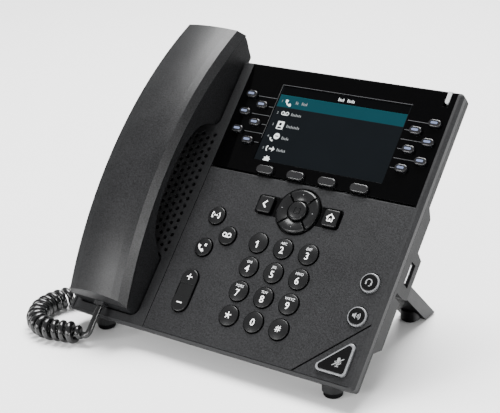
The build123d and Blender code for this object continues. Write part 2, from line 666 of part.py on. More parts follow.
# volume rocker
with BuildPart() as volume_rocker:
    with BuildSketch(FACE.offset(-3.3)):
        with Locations((ROCKER_X, ROCKER_Y)):
            SlotOverall(ROCKER_L, ROCKER_W, rotation=90)
    extrude(amount=KEY_RISE + 3.3)
    crown = volume_rocker.faces().sort_by(Axis(on_face(0, 0, 0), OUT_OF_FACE))[-1]
    fillet(crown.edges(), radius=0.8)
    prism(
        ROCKER_X - ROCKER_W / 2 + 0.9, ROCKER_X + ROCKER_W / 2 - 0.9, ROCKER_Y - 4.4, ROCKER_Y + 4.6,
        KEY_RISE - 0.35, KEY_RISE + 1, mode=Mode.SUBTRACT,
    )
    with BuildSketch(FACE.offset(-4.0)):
        with Locations((ROCKER_X, ROCKER_Y)):
            SlotOverall(ROCKER_L + 2.2, ROCKER_W + 2.0, rotation=90)
    extrude(amount=0.75)
    prism(ROCKER_X - 5, ROCKER_X + 5, ROCKER_Y - 1.2, ROCKER_Y + 1.2, -4.8, -3.9)
finish(volume_rocker.part, "volume_rocker")

with BuildPart() as hook_plunger:
    prism(CRADLE_X - 6, CRADLE_X + 6, 5, 11, -13.6, -7.9, corner=1.4)
    crown = hook_plunger.faces().sort_by(Axis(on_face(0, 0, 0), OUT_OF_FACE))[-1]
    fillet(crown.edges(), radius=0.5)
    prism(CRADLE_X - 8, CRADLE_X + 8, 3.4, 12.6, -14.2, -13.4, corner=1.4)
finish(hook_plunger.part, "hook_plunger")

# ---------------------------------------------------------------- handset

PARTING_R = ARCH_R - COVER_DEPTH
EAR_END, MOUTH_END = 56.0, -148.8
ARC_SPAN = 24.0


def arch_plane(angle):
    """Plane through the arch's axis, turned by angle towards the ear; its y is radial."""
    a = radians(angle)
    radial = UP_FACE * sin(a) + OUT_OF_FACE * cos(a)
    normal = Vector(1, 0, 0).cross(radial)
    return Plane(origin=on_face(CRADLE_X, ARCH_Y, ARCH_Z), x_dir=(1, 0, 0), z_dir=normal)


ARCH_AXIS = Axis(on_face(CRADLE_X, ARCH_Y, ARCH_Z), (1, 0, 0))

with BuildPart() as handset_outer_shell:
    with BuildSketch(arch_plane(ARC_SPAN)):
        with BuildLine():
            Polyline((-15, ARCH_R + 1.2), (-COVER_TOP_HALF_W, ARCH_R), (-HANDSET_HALF_W, PARTING_R),
                     (HANDSET_HALF_W, PARTING_R), (COVER_TOP_HALF_W, ARCH_R), (15, ARCH_R + 1.2))
            ThreePointArc((15, ARCH_R + 1.2), (0, ARCH_R + CROWN), (-15, ARCH_R + 1.2))
        make_face()
    revolve(axis=ARCH_AXIS, revolution_arc=2 * ARC_SPAN)
    # ends
    slab(CRADLE_X - 30, CRADLE_X + 30, [
        (53.6, 26), (55.2, 16.5), (EAR_END, arch_height(EAR_END, PARTING_R)), (EAR_END, 0),
        (MOUTH_END, 0), (MOUTH_END, arch_height(MOUTH_END, PARTING_R)), (-147.4, 18.5),
        (-144.6, 28), (ARCH_Y, 70),
    ], mode=Mode.INTERSECT)
    # hollow, closed at both ends
    with BuildSketch(arch_plane(ARC_SPAN - 3.4)):
        with BuildLine():
            Polyline(
                (-19, ARCH_R - 1.9), (-HANDSET_HALF_W + 2.6, PARTING_R - 0.1),
                (HANDSET_HALF_W - 2.6, PARTING_R - 0.1), (19, ARCH_R - 1.9), close=True,
            )
        make_face()
    revolve(axis=ARCH_AXIS, revolution_arc=2 * ARC_SPAN - 3.4 - 4.6, mode=Mode.SUBTRACT)
finish(handset_outer_shell.part, "handset_outer_shell")

with BuildPart() as handset_inner_shell:
    rim_r = PARTING_R - 0.05
    with BuildSketch(side_plane(CRADLE_X)) as inner_profile:
        with BuildLine():
            Polyline((EAR_END, arch_height(EAR_END, rim_r)), (51, 1), (46.4, CUP_BOTTOM_Z),
                     (-8, CUP_BOTTOM_Z), (-9.6, 2))
            ThreePointArc((-9.6, 2), (-16.5, 13.9), (-30, 21.3))
            ThreePointArc((-30, 21.3), (-56, 24.6), (-82, 21.3))
            ThreePointArc((-82, 21.3), (-97.2, 14.2), (-106, 3))
            Polyline((-106, 3), (-108.4, CUP_BOTTOM_Z), (-149.4, CUP_BOTTOM_Z), (-149.5, 0),
                     (MOUTH_END, arch_height(MOUTH_END, rim_r)))
            ThreePointArc(
                (MOUTH_END, arch_height(MOUTH_END, rim_r)), (ARCH_Y, ARCH_Z + rim_r),
                (EAR_END, arch_height(EAR_END, rim_r)),
            )
        make_face()
        cup_corners = [v for v in inner_profile.vertices() if v.Y < CUP_BOTTOM_Z + 1]
        fillet(cup_corners, radius=3)
    extrude(amount=HANDSET_HALF_W, both=True)
    # rounded corners in plan: each cup, and the whole handset above them
    plan_left, plan_right = CRADLE_X - HANDSET_HALF_W, CRADLE_X + HANDSET_HALF_W
    with BuildPart(mode=Mode.PRIVATE) as plan:
        prism(plan_left, plan_right, -8.8, 57, -20, 60, corner=4)
        prism(plan_left, plan_right, -149.7, -105.6, -20, 60, corner=4.5)
        prism(plan_left, plan_right, -149.7, 57, 3, 60, corner=4)
    add(plan.part, mode=Mode.INTERSECT)
    # side edges of the two cups
    with BuildSketch(Plane(origin=on_face(CRADLE_X, -170, 0), x_dir=(1, 0, 0), z_dir=UP_FACE)):
        with Locations((0, CUP_BOTTOM_Z * -1 - 60)):
            RectangleRounded(2 * HANDSET_HALF_W, 120, 2.5)
    extrude(amount=250, mode=Mode.INTERSECT)
    # hollow
    with BuildSketch(side_plane(CRADLE_X)) as hollow:
        add(inner_profile.sketch_local)
        offset(amount=-HANDSET_WALL, mode=Mode.REPLACE)
    extrude(amount=HANDSET_HALF_W - 2.4, both=True, mode=Mode.SUBTRACT)
    with BuildSketch(arch_plane(ARC_SPAN - 3.4)):
        with Locations((0, PARTING_R - 1.2)):
            Rectangle(2 * HANDSET_HALF_W - 5.2, 4)
    revolve(axis=ARCH_AXIS, revolution_arc=2 * ARC_SPAN - 3.4 - 4.6, mode=Mode.SUBTRACT)
    # receiver holes, microphone slot and the cord's socket
    with BuildSketch(FACE.offset(CUP_BOTTOM_Z - 1)):
        with Locations((CRADLE_X, 22)):
            Circle(1.2)
            with PolarLocations(4.5, 6):
                Circle(1.2)
            with PolarLocations(9, 12):
                Circle(1.2)
        with Locations((CRADLE_X, -131)):
            SlotOverall(9, 2.2)
    extrude(amount=HANDSET_WALL + 2, mode=Mode.SUBTRACT)
    with BuildSketch(Plane(origin=on_face(CRADLE_X, -152, 0), x_dir=(1, 0, 0), z_dir=UP_FACE)):
        with Locations((0, -6.9)):
            Rectangle(8.0, 6.2)
    extrude(amount=7, mode=Mode.SUBTRACT)
finish(handset_inner_shell.part, "handset_inner_shell")

with BuildPart() as handset_capsules:
    disc(CRADLE_X, 22, 32, CUP_BOTTOM_Z + HANDSET_WALL + 0.1, 2.6)
    disc(CRADLE_X, 22, 24, 2.5, 4.4)
    disc(CRADLE_X, -131, 10, CUP_BOTTOM_Z + HANDSET_WALL + 0.1, -0.6)
finish(handset_capsules.part, "handset_capsules")

# ---------------------------------------------------------------- desk stand and feet

REAR_FEET = [(side * REAR_FOOT_X, REAR_FOOT_BACK + FACE_BACK) for side in (-1, 1)]

with BuildPart() as desk_stand:
    # leg plate, with its end cut level with the desk
    slab(STAND_LEFT, STAND_RIGHT, [
        (STAND_BACK_Y, BOX_Z - 0.2), (STAND_BACK_Y, -112), (STAND_FRONT_Y, -112),
        (STAND_FRONT_Y, BOX_Z - 0.2),
    ])
    # upright bosses for the rear feet, on the front of the plate
    with BuildSketch(Plane.XY.offset(FOOT_BOSS_BOTTOM)):
        with Locations(*REAR_FEET):
            Circle(REAR_FOOT_D / 2 + FOOT_BOSS_WALL)
    extrude(amount=FOOT_BOSS_TOP - FOOT_BOSS_BOTTOM)
    # flange against the rear housing
    slab(STAND_LEFT, 45.6, [
        (-62, BOX_Z - 0.2), (-62, BOX_Z - 3), (-91, BOX_Z - 3), (-91, BOX_Z - 0.2),
    ])
    with BuildSketch(Plane.XY.offset(-40)):
        Rectangle(400, 400)
    extrude(amount=40 + STAND_END_HEIGHT, mode=Mode.SUBTRACT)
    # arch between the two legs
    prism(
        STAND_LEFT + LEG_W, STAND_RIGHT - LEG_W, -92, -60, -130, ARCH_TOP_Z, mode=Mode.SUBTRACT
    )
    # clear of the USB box
    prism(45.8, 80, -92, -60, USB_Z - 0.2, -10, mode=Mode.SUBTRACT)
    # seats for the rubber feet
    with BuildSketch(Plane.XY.offset(-1)):
        with Locations(*REAR_FEET):
            Circle(REAR_FOOT_D / 2 + 0.15)
    extrude(amount=FOOT_HEIGHT + 1, mode=Mode.SUBTRACT)
finish(desk_stand.part, "desk_stand")

with BuildPart() as rubber_feet:
    with BuildSketch(Plane.XY):
        with Locations(*REAR_FEET):
            Circle(REAR_FOOT_D / 2)
        with Locations(
            (FRONT_FOOT_X, FRONT_FOOT_BACK + FACE_BACK), (-FRONT_FOOT_X, FRONT_FOOT_BACK + FACE_BACK)
        ):
            Circle(FRONT_FOOT_D / 2)
    extrude(amount=FOOT_HEIGHT - 0.05)
    fillet(rubber_feet.faces().group_by(Axis.Z)[0].edges(), radius=1.6)
finish(rubber_feet.part, "rubber_feet")

# ---------------------------------------------------------------- handset cord


def tube_path(points):
    """Centre line of straight runs joined by tangent arcs, with every radius printed."""
    radii = []
    for before, at, after in zip(points, points[1:], points[2:]):
        run_in = Vector(*at) - Vector(*before)
        run_out = Vector(*after) - Vector(*at)
        half_turn = radians(run_in.get_angle(run_out)) / 2
        radii.append(0.45 * min(run_in.length, run_out.length) / tan(half_turn))
    print("cord radii", [round(r, 1) for r in radii])
    return FilletPolyline(*points, radius=radii)


def tube(name, points, diameter):
    """A round tube along the runs and arcs through the given points."""
    with BuildPart() as cord:
        with BuildLine() as path:
            tube_path(points)
        route = path.wires()[0]
        with BuildSketch(Plane(origin=route @ 0, z_dir=route % 0)) as section:
            Circle(diameter / 2)
        sweep(section.sketch, path=route)
    expected = pi * diameter**2 / 4 * route.length
    ratio = cord.part.volume / expected
    print(name, "length", round(route.length, 1), "volume ratio", round(ratio, 3))
    finish(cord.part, name)


def shifted(points):
    """Points given as right, back from the display's foot line, and height, in the world."""
    return [(x, back + FACE_BACK, height) for x, back, height in points]


PLUG_Z = 7.0
PLUG_FACE_Y = -151.5
plug_face = on_face(CRADLE_X, PLUG_FACE_Y, PLUG_Z)

with BuildPart() as handset_plug:
    with BuildSketch(Plane(origin=on_face(CRADLE_X, PLUG_FACE_Y, 0), x_dir=(1, 0, 0), z_dir=UP_FACE)):
        with Locations((0, -PLUG_Z)):
            Rectangle(7.4, 5.6)
    extrude(amount=6.0)
finish(handset_plug.part, "handset_plug")

COIL_PLAN = [
    (-88.0, -124.6), (-98.4, -128.6), (-109.0, -131.6), (-120.0, -129.6), (-129.8, -122.6),
    (-135.6, -111.4), (-135.4, -99.4), (-130.6, -88.4), (-123.2, -77.6), (-114.0, -68.2),
    (-103.2, -60.8), (-91.2, -55.4), (-78.8, -51.4), (-67.4, -45.6), (-58.0, -37.0),
]
COIL = shifted([(x, back, COIL_D / 2) for x, back in COIL_PLAN])
coil_start, coil_end = Vector(*COIL[0]), Vector(*COIL[-1])
start_run = (Vector(*COIL[1]) - coil_start).normalized()
end_run = (coil_end - Vector(*COIL[-2])).normalized()
# the wire leaves the plug square, drops and meets the front side of the coil's end face
wire_meets = coil_start + start_run.cross(Vector(0, 0, -1)) * -(COIL_D - WIRE_D) / 2 - start_run * 0.1
HANDSET_TAIL = [
    tuple(plug_face - UP_FACE * 0.3), tuple(plug_face - UP_FACE * 9.4),
    tuple(wire_meets - start_run * 6.3), tuple(wire_meets),
]
jack_mouth = on_face(PORTS["handset"][0], PORT_Y, BOX_Z)
BASE_TAIL = [tuple(coil_end + end_run * 0.1), tuple(coil_end + end_run * 12.2)]
BASE_TAIL += shifted([(-39.6, -32.4, 11.0), (-37.6, -44.0, 17.0)])
BASE_TAIL += [tuple(jack_mouth - OUT_OF_FACE * 12), tuple(jack_mouth + OUT_OF_FACE * 4)]

tube("cord_handset_tail", HANDSET_TAIL, WIRE_D)
tube("cord_coil", COIL, COIL_D)
tube("cord_base_tail", BASE_TAIL, WIRE_D)
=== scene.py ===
import math

import bmesh
import bpy
import numpy as np
from mathutils import Matrix, Vector
from mathutils.geometry import tessellate_polygon


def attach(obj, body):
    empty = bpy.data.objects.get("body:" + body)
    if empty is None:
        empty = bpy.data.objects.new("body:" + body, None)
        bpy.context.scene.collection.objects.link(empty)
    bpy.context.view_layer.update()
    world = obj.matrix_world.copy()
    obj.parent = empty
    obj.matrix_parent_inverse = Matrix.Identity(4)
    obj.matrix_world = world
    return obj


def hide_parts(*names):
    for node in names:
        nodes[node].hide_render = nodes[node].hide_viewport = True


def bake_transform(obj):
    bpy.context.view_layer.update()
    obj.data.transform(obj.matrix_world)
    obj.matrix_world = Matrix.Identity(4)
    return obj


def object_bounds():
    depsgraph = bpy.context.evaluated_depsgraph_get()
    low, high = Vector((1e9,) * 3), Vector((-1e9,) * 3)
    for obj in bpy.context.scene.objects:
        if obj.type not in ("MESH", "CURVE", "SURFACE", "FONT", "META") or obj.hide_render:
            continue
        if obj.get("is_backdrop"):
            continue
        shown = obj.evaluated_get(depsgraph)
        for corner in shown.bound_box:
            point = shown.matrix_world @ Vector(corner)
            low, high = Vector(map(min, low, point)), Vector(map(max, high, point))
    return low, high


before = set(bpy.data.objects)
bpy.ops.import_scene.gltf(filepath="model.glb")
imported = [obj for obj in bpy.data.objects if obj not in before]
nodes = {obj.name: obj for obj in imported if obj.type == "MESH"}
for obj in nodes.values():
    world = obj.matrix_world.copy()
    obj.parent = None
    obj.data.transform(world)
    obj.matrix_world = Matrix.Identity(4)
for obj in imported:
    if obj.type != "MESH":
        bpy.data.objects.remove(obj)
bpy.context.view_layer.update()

# ------------------------------------------------------------------ the sloping face

# On the face, x runs to the right, y up the face and z out of it, in millimetres from the
# centre of the display.
SLOPE = math.radians(45.0)
ACROSS = Vector((1, 0, 0))
UP_FACE = Vector((0, math.cos(SLOPE), math.sin(SLOPE)))
OUT_OF_FACE = Vector((0, -math.sin(SLOPE), math.cos(SLOPE)))
FACE_BACK = 0.04025
FACE_ORIGIN = Vector((0.030, FACE_BACK, 0.1255))


def on_face(x, y, z):
    """Row-frame point, in metres, of a place on the face in millimetres."""
    return FACE_ORIGIN + (ACROSS * x + UP_FACE * y + OUT_OF_FACE * z) / 1000


def face_box(node):
    """Lowest and highest corner of a CAD node along the face's own axes, in millimetres."""
    co = np.array([v.co for v in nodes[node].data.vertices], float) - np.array(FACE_ORIGIN)
    axes = np.array([ACROSS, UP_FACE, OUT_OF_FACE]).T
    own = co @ axes * 1000
    return own.min(0), own.max(0)


def face_centre(node):
    low, high = face_box(node)
    return (low[0] + high[0]) / 2, (low[1] + high[1]) / 2


# ------------------------------------------------------------------ camera

CAMERA_PLACE = Vector((0.4468, -0.6672 + FACE_BACK, 0.3984))
SENSOR_WIDTH, LENS, NEAREST = 36.0, 93.2, 0.05
SHIFT_LEFT, SHIFT_DOWN = 0.0036, 0.0024
camera = bpy.data.objects.new("camera", bpy.data.cameras.new("camera"))
bpy.context.scene.collection.objects.link(camera)
camera.data.sensor_width = SENSOR_WIDTH
camera.data.lens = LENS
camera.data.clip_start = NEAREST
look = Vector((-0.5407, 0.7521, -0.3767))
right = Vector((0.8218, 0.5679, -0.0459))
right = (right - look * right.dot(look) / look.length_squared).normalized()
look = look.normalized() - right * SHIFT_LEFT - right.cross(look).normalized() * SHIFT_DOWN
look = look.normalized()
right = (right - look * right.dot(look)).normalized()
upward = right.cross(look)
turned_axes = Matrix((right, upward, -look)).transposed().to_4x4()
camera.matrix_world = Matrix.Translation(CAMERA_PLACE) @ turned_axes
bpy.context.scene.camera = camera

# ------------------------------------------------------------------ materials

# scales are in features per metre; a share or dip is a part of the whole
BROAD_SCALE, BROAD_SHARE = 38.0, 0.1
SHADE_SPECULAR = 0.05
LIT_SCALE, LIT_DIP, LIT_SPECULAR = 60.0, 0.93, 0.04
CLEAR_DIP, PLASTIC_IOR = 0.9, 1.49
BRUSH_SCALE, BRUSH_DIP, BRUSH_GLOSS = 900.0, 0.85, 0.08


def new_material(name):
    material = bpy.data.materials.new(name)
    material.use_nodes = True
    tree = material.node_tree
    return material, tree, tree.nodes["Principled BSDF"]


def linked(tree, kind, **settings):
    node = tree.nodes.new(kind)
    for key, value in settings.items():
        setattr(node, key, value)
    return node


def noise(tree, scale, detail=2.0, roughness=0.5):
    """A noise texture in row-frame metres; scale is in features per metre."""
    where = linked(tree, "ShaderNodeTexCoord")
    texture = linked(tree, "ShaderNodeTexNoise")
    texture.inputs["Scale"].default_value = scale
    texture.inputs["Detail"].default_value = detail
    texture.inputs["Roughness"].default_value = roughness
    tree.links.new(where.outputs["Object"], texture.inputs["Vector"])
    return texture


def span(tree, source, low, high, source_low=0.3, source_high=0.7):
    """Rescales a value to run from low to high."""
    node = linked(tree, "ShaderNodeMapRange")
    node.inputs["From Min"].default_value = source_low
    node.inputs["From Max"].default_value = source_high
    node.inputs["To Min"].default_value = low
    node.inputs["To Max"].default_value = high
    tree.links.new(source, node.inputs["Value"])
    return node.outputs["Result"]


def shaded(tree, source, dark, light):
    """A colour that runs from dark to light with a value from 0 to 1."""
    ramp = linked(tree, "ShaderNodeValToRGB")
    ramp.color_ramp.elements[0].position = 0.3
    ramp.color_ramp.elements[1].position = 0.7
    ramp.color_ramp.elements[0].color = (*dark, 1)
    ramp.color_ramp.elements[1].color = (*light, 1)
    tree.links.new(source, ramp.inputs["Fac"])
    return ramp.outputs["Color"]


def moulded(
    name, colour, roughness, grain=2600.0, depth=0.03, spread=0.12, edge=0.25, specular=0.5
):
    """Moulded plastic: spark texture, slight colour and gloss variation, softened edges.

    grain is in features per metre, depth and edge are in millimetres."""
    material, tree, shader = new_material(name)
    shader.inputs["Specular IOR Level"].default_value = specular
    fine = noise(tree, grain, 2.0, 0.6)
    broad = noise(tree, BROAD_SCALE, 3.0, 0.55)
    mixed = linked(tree, "ShaderNodeMath", operation="MULTIPLY_ADD")
    mixed.inputs[1].default_value = 1 - BROAD_SHARE
    tree.links.new(fine.outputs["Fac"], mixed.inputs[0])
    part = linked(tree, "ShaderNodeMath", operation="MULTIPLY")
    part.inputs[1].default_value = BROAD_SHARE
    tree.links.new(broad.outputs["Fac"], part.inputs[0])
    tree.links.new(part.outputs[0], mixed.inputs[2])
    dark = tuple(c * (1 - spread) for c in colour)
    light = tuple(c * (1 + spread) for c in colour)
    tree.links.new(shaded(tree, mixed.outputs[0], dark, light), shader.inputs["Base Color"])
    tree.links.new(
        span(tree, broad.outputs["Fac"], roughness - 0.04, roughness + 0.05),
        shader.inputs["Roughness"],
    )
    bump = linked(tree, "ShaderNodeBump")
    bump.inputs["Strength"].default_value = 1.0
    bump.inputs["Distance"].default_value = depth / 1000
    tree.links.new(fine.outputs["Fac"], bump.inputs["Height"])
    if edge:
        soft = linked(tree, "ShaderNodeBevel", samples=4)
        soft.inputs["Radius"].default_value = edge / 1000
        tree.links.new(soft.outputs["Normal"], bump.inputs["Normal"])
    tree.links.new(bump.outputs["Normal"], shader.inputs["Normal"])
    return material


def paint_shade_facing(material, colour, along, low, high):
    """Paints shade: blends to a dark colour, with a weaker reflection, where the surface turns from
    a direction, between two cosines.
    """
    tree = material.node_tree
    shader = tree.nodes["Principled BSDF"]
    surface = linked(tree, "ShaderNodeNewGeometry")
    facing = linked(tree, "ShaderNodeVectorMath", operation="DOT_PRODUCT")
    facing.inputs[1].default_value = along
    tree.links.new(surface.outputs["True Normal"], facing.inputs[0])
    mix = linked(tree, "ShaderNodeMixRGB")
    mix.inputs["Color1"].default_value = (*colour, 1)
    tree.links.new(span(tree, facing.outputs["Value"], 0.0, 1.0, low, high), mix.inputs["Fac"])
    tree.links.new(shader.inputs["Base Color"].links[0].from_socket, mix.inputs["Color2"])
    tree.links.new(mix.outputs["Color"], shader.inputs["Base Color"])
    specular = shader.inputs["Specular IOR Level"]
    gloss = span(tree, facing.outputs["Value"], SHADE_SPECULAR, specular.default_value, low, high)
    tree.links.new(gloss, specular)


def glowing(name, colour, strength, roughness=0.25):
    """A lit area of the display or a lamp, with a faint unevenness in its brightness."""
    material, tree, shader = new_material(name)
    broad = noise(tree, LIT_SCALE)
    dark = tuple(c * LIT_DIP for c in colour)
    tint = shaded(tree, broad.outputs["Fac"], dark, colour)
    tree.links.new(tint, shader.inputs["Base Color"])
    tree.links.new(tint, shader.inputs["Emission Color"])
    shader.inputs["Emission Strength"].default_value = strength
    shader.inputs["Roughness"].default_value = roughness
    shader.inputs["Specular IOR Level"].default_value = LIT_SPECULAR
    return material


def clear(name, colour, roughness, grain, transmission):
    """Clear or frosted plastic."""
    material, tree, shader = new_material(name)
    fine = noise(tree, grain, 2.0)
    dark = tuple(c * CLEAR_DIP for c in colour)
    tree.links.new(shaded(tree, fine.outputs["Fac"], dark, colour), shader.inputs["Base Color"])
    tree.links.new(
        span(tree, fine.outputs["Fac"], roughness - 0.04, roughness + 0.06),
        shader.inputs["Roughness"],
    )
    shader.inputs["Transmission Weight"].default_value = transmission
    shader.inputs["IOR"].default_value = PLASTIC_IOR
    return material


def metal(name, colour, roughness):
    """Stamped or turned metal with fine brushing."""
    material, tree, shader = new_material(name)
    fine = noise(tree, BRUSH_SCALE, 4.0)
    dark = tuple(c * BRUSH_DIP for c in colour)
    tree.links.new(shaded(tree, fine.outputs["Fac"], dark, colour), shader.inputs["Base Color"])
    tree.links.new(
        span(tree, fine.outputs["Fac"], roughness - BRUSH_GLOSS, roughness + BRUSH_GLOSS),
        shader.inputs["Roughness"],
    )
    shader.inputs["Metallic"].default_value = 1.0
    return material


DEEP_SHADE = (0.0014, 0.0014, 0.0016)
UP_AND_BACK = (0.0, 0.8, 0.6)
CASE_PLASTIC = {
    "colour": (0.0118, 0.0120, 0.0128), "roughness": 0.46, "grain": 1300, "depth": 0.06,
    "spread": 0.5, "specular": 0.22,
}
HOUSING = moulded("housing_plastic", **CASE_PLASTIC)
STAND = moulded("stand_plastic", **CASE_PLASTIC)
# painted shade: the stand's faces that turn to the front and down are blended to near-black,
# standing in for the shade under the stand
paint_shade_facing(STAND, DEEP_SHADE, UP_AND_BACK, -0.6, -0.2)
FASCIA = moulded(
    "fascia_plastic", (0.0106, 0.0108, 0.0116), 0.5, 1100, depth=0.09, spread=0.75, specular=0.18
)
HANDSET_GREY = (0.0080, 0.0082, 0.0088)
HANDSET = moulded(
    "handset_plastic", HANDSET_GREY, 0.38, 1150, depth=0.085, spread=0.9, specular=0.24
)
INNER_SHELL = moulded(
    "handset_inner_plastic", HANDSET_GREY, 0.58, 1300, depth=0.07, spread=0.7, specular=0.06
)
UNDERSIDE = moulded(
    "rear_plastic", (0.0095, 0.0097, 0.0101), 0.55, 1900, depth=0.05, specular=0.18
)
KEYCAP = moulded(
    "keycap_plastic", (0.0045, 0.0046, 0.0049), 0.3, 3600, depth=0.012, edge=0.2, specular=0.25
)
# painted shade: the keys' side walls, which turn away from the face's outward direction, are
# blended to near-black
paint_shade_facing(KEYCAP, DEEP_SHADE, OUT_OF_FACE, 0.3, 0.7)
JOIN = moulded("join_shadow", DEEP_SHADE, 0.5, 3600, depth=0.006, specular=0.06)
NAV = moulded("nav_plastic", (0.0050, 0.0051, 0.0054), 0.25, 3600, depth=0.01, specular=0.28)
NAV_BED = moulded(
    "nav_bed_plastic", (0.0012, 0.0012, 0.0013), 0.15, 3000, depth=0.003, specular=0.08
)
PANEL = moulded("panel_gloss", (0.0008, 0.0008, 0.0009), 0.06, 400, depth=0.001, specular=0.05)
LINE_KEY = moulded("line_key_plastic", (0.004, 0.0042, 0.005), 0.2, 3000, depth=0.01, edge=0.3)
SOFT_KEY = moulded("soft_key_plastic", (0.005, 0.0051, 0.0056), 0.25, 3000, depth=0.012, edge=0.3)
RUBBER = moulded("foot_rubber", (0.0018, 0.0018, 0.002), 0.8, 1600, depth=0.06, specular=0.06)
MAT = moulded("silicone_mat", (0.3, 0.31, 0.32), 0.6)
SOCKET = moulded("socket_plastic", (0.03, 0.03, 0.032), 0.4)
CORD = moulded("cord_jacket", (0.0045, 0.0046, 0.0049), 0.2, 1500, depth=0.01, edge=0)
PRINT = moulded("legend_print", (0.9, 0.9, 0.9), 0.5, 1500, depth=0.004, spread=0.03, edge=0)
PRINT_FINE = moulded("legend_fine", (0.6, 0.61, 0.62), 0.5, 1500, depth=0.004, edge=0)
PRINT_DIM = moulded("legend_dim", (0.22, 0.225, 0.23), 0.5, 1500, depth=0.004, edge=0)
PANEL_PRINT = moulded("panel_print", (0.055, 0.057, 0.06), 0.4, 1500, depth=0.003, edge=0)
KEY_TOP = moulded(
    "key_top_black", (0.0022, 0.0022, 0.0024), 0.26, 3600, depth=0.006, edge=0.15, specular=0.14
)
LIT_RIM = moulded("lit_rim", (0.16, 0.163, 0.17), 0.22, 900, depth=0.004, spread=0.06, edge=0.2)
LAMP = glowing("lamp", (0.10, 0.12, 0.19), 0.5)
LIGHT_BAR = clear("light_bar_white", (0.5, 0.51, 0.51), 0.25, 700, 0.15)
PLUG = clear("plug_clear", (0.02, 0.0204, 0.0216), 0.25, 500, 0.2)
STEEL = metal("steel", (0.55, 0.55, 0.56), 0.3)
DARK_STEEL = metal("dark_steel", (0.12, 0.12, 0.125), 0.4)
GOLD = metal("gold_contact", (0.75, 0.52, 0.2), 0.25)
SCREEN = glowing("screen_glass", (0.0030, 0.0038, 0.0046), 0.7, 0.12)
SCREEN_TITLE = glowing("screen_title", (0.0010, 0.0011, 0.0013), 0.5, 0.12)
SCREEN_ROW = glowing("screen_row", (0.0030, 0.0205, 0.0262), 0.75, 0.15)
SCREEN_ROW_EDGE = glowing("screen_row_edge", (0.004, 0.052, 0.062), 0.9, 0.15)
SCREEN_TEXT = glowing("screen_text", (0.12, 0.127, 0.13), 1.0, 0.15)
SCREEN_ICON = glowing("screen_icon", (0.42, 0.44, 0.44), 1.0, 0.15)

NODE_LOOKS = {
    "front_housing": HOUSING,
    "rear_housing": UNDERSIDE,
    "desk_stand": STAND,
    "keypad_fascia": FASCIA,
    "display_panel": PANEL,
    "lcd_screen": SCREEN,
    "light_bar": LIGHT_BAR,
    "loudspeaker": DARK_STEEL,
    "main_board": SOCKET,
    "key_mat": MAT,
    "rubber_feet": RUBBER,
    "housing_screws": DARK_STEEL,
    "handset_outer_shell": HANDSET,
    "handset_inner_shell": INNER_SHELL,
    "handset_capsules": DARK_STEEL,
    "handset_plug": PLUG,
    "nav_pivot": NAV,
    "nav_ring": NAV,
    "select_key": NAV,
    "volume_rocker": KEYCAP,
    "hook_plunger": KEYCAP,
    "headset_key": LIT_RIM,
    "speaker_key": LIT_RIM,
    "mute_key": LIT_RIM,
}
for node_name, node in nodes.items():
    if node_name.startswith("line_key"):
        look_of = LINE_KEY
    elif node_name.startswith("soft_key"):
        look_of = SOFT_KEY
    else:
        look_of = NODE_LOOKS.get(node_name, KEYCAP)
    node.data.materials.clear()
    node.data.materials.append(look_of)

# ------------------------------------------------------------------ pieces from meshes


def place_piece(name, verts, faces, materials, body, indices=None, smooth=False):
    """Makes a mesh piece in the row frame and lets it ride on a body."""
    mesh = bpy.data.meshes.new(name)
    mesh.from_pydata([tuple(v) for v in verts], [], faces)
    for material in materials:
        mesh.materials.append(material)
    if indices:
        mesh.polygons.foreach_set("material_index", indices)
    if smooth:
        mesh.polygons.foreach_set("use_smooth", [True] * len(mesh.polygons))
    mesh.validate()
    mesh.update()
    piece = bpy.data.objects.new(name, mesh)
    bpy.context.scene.collection.objects.link(piece)
    if body:
        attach(piece, body)
    return piece


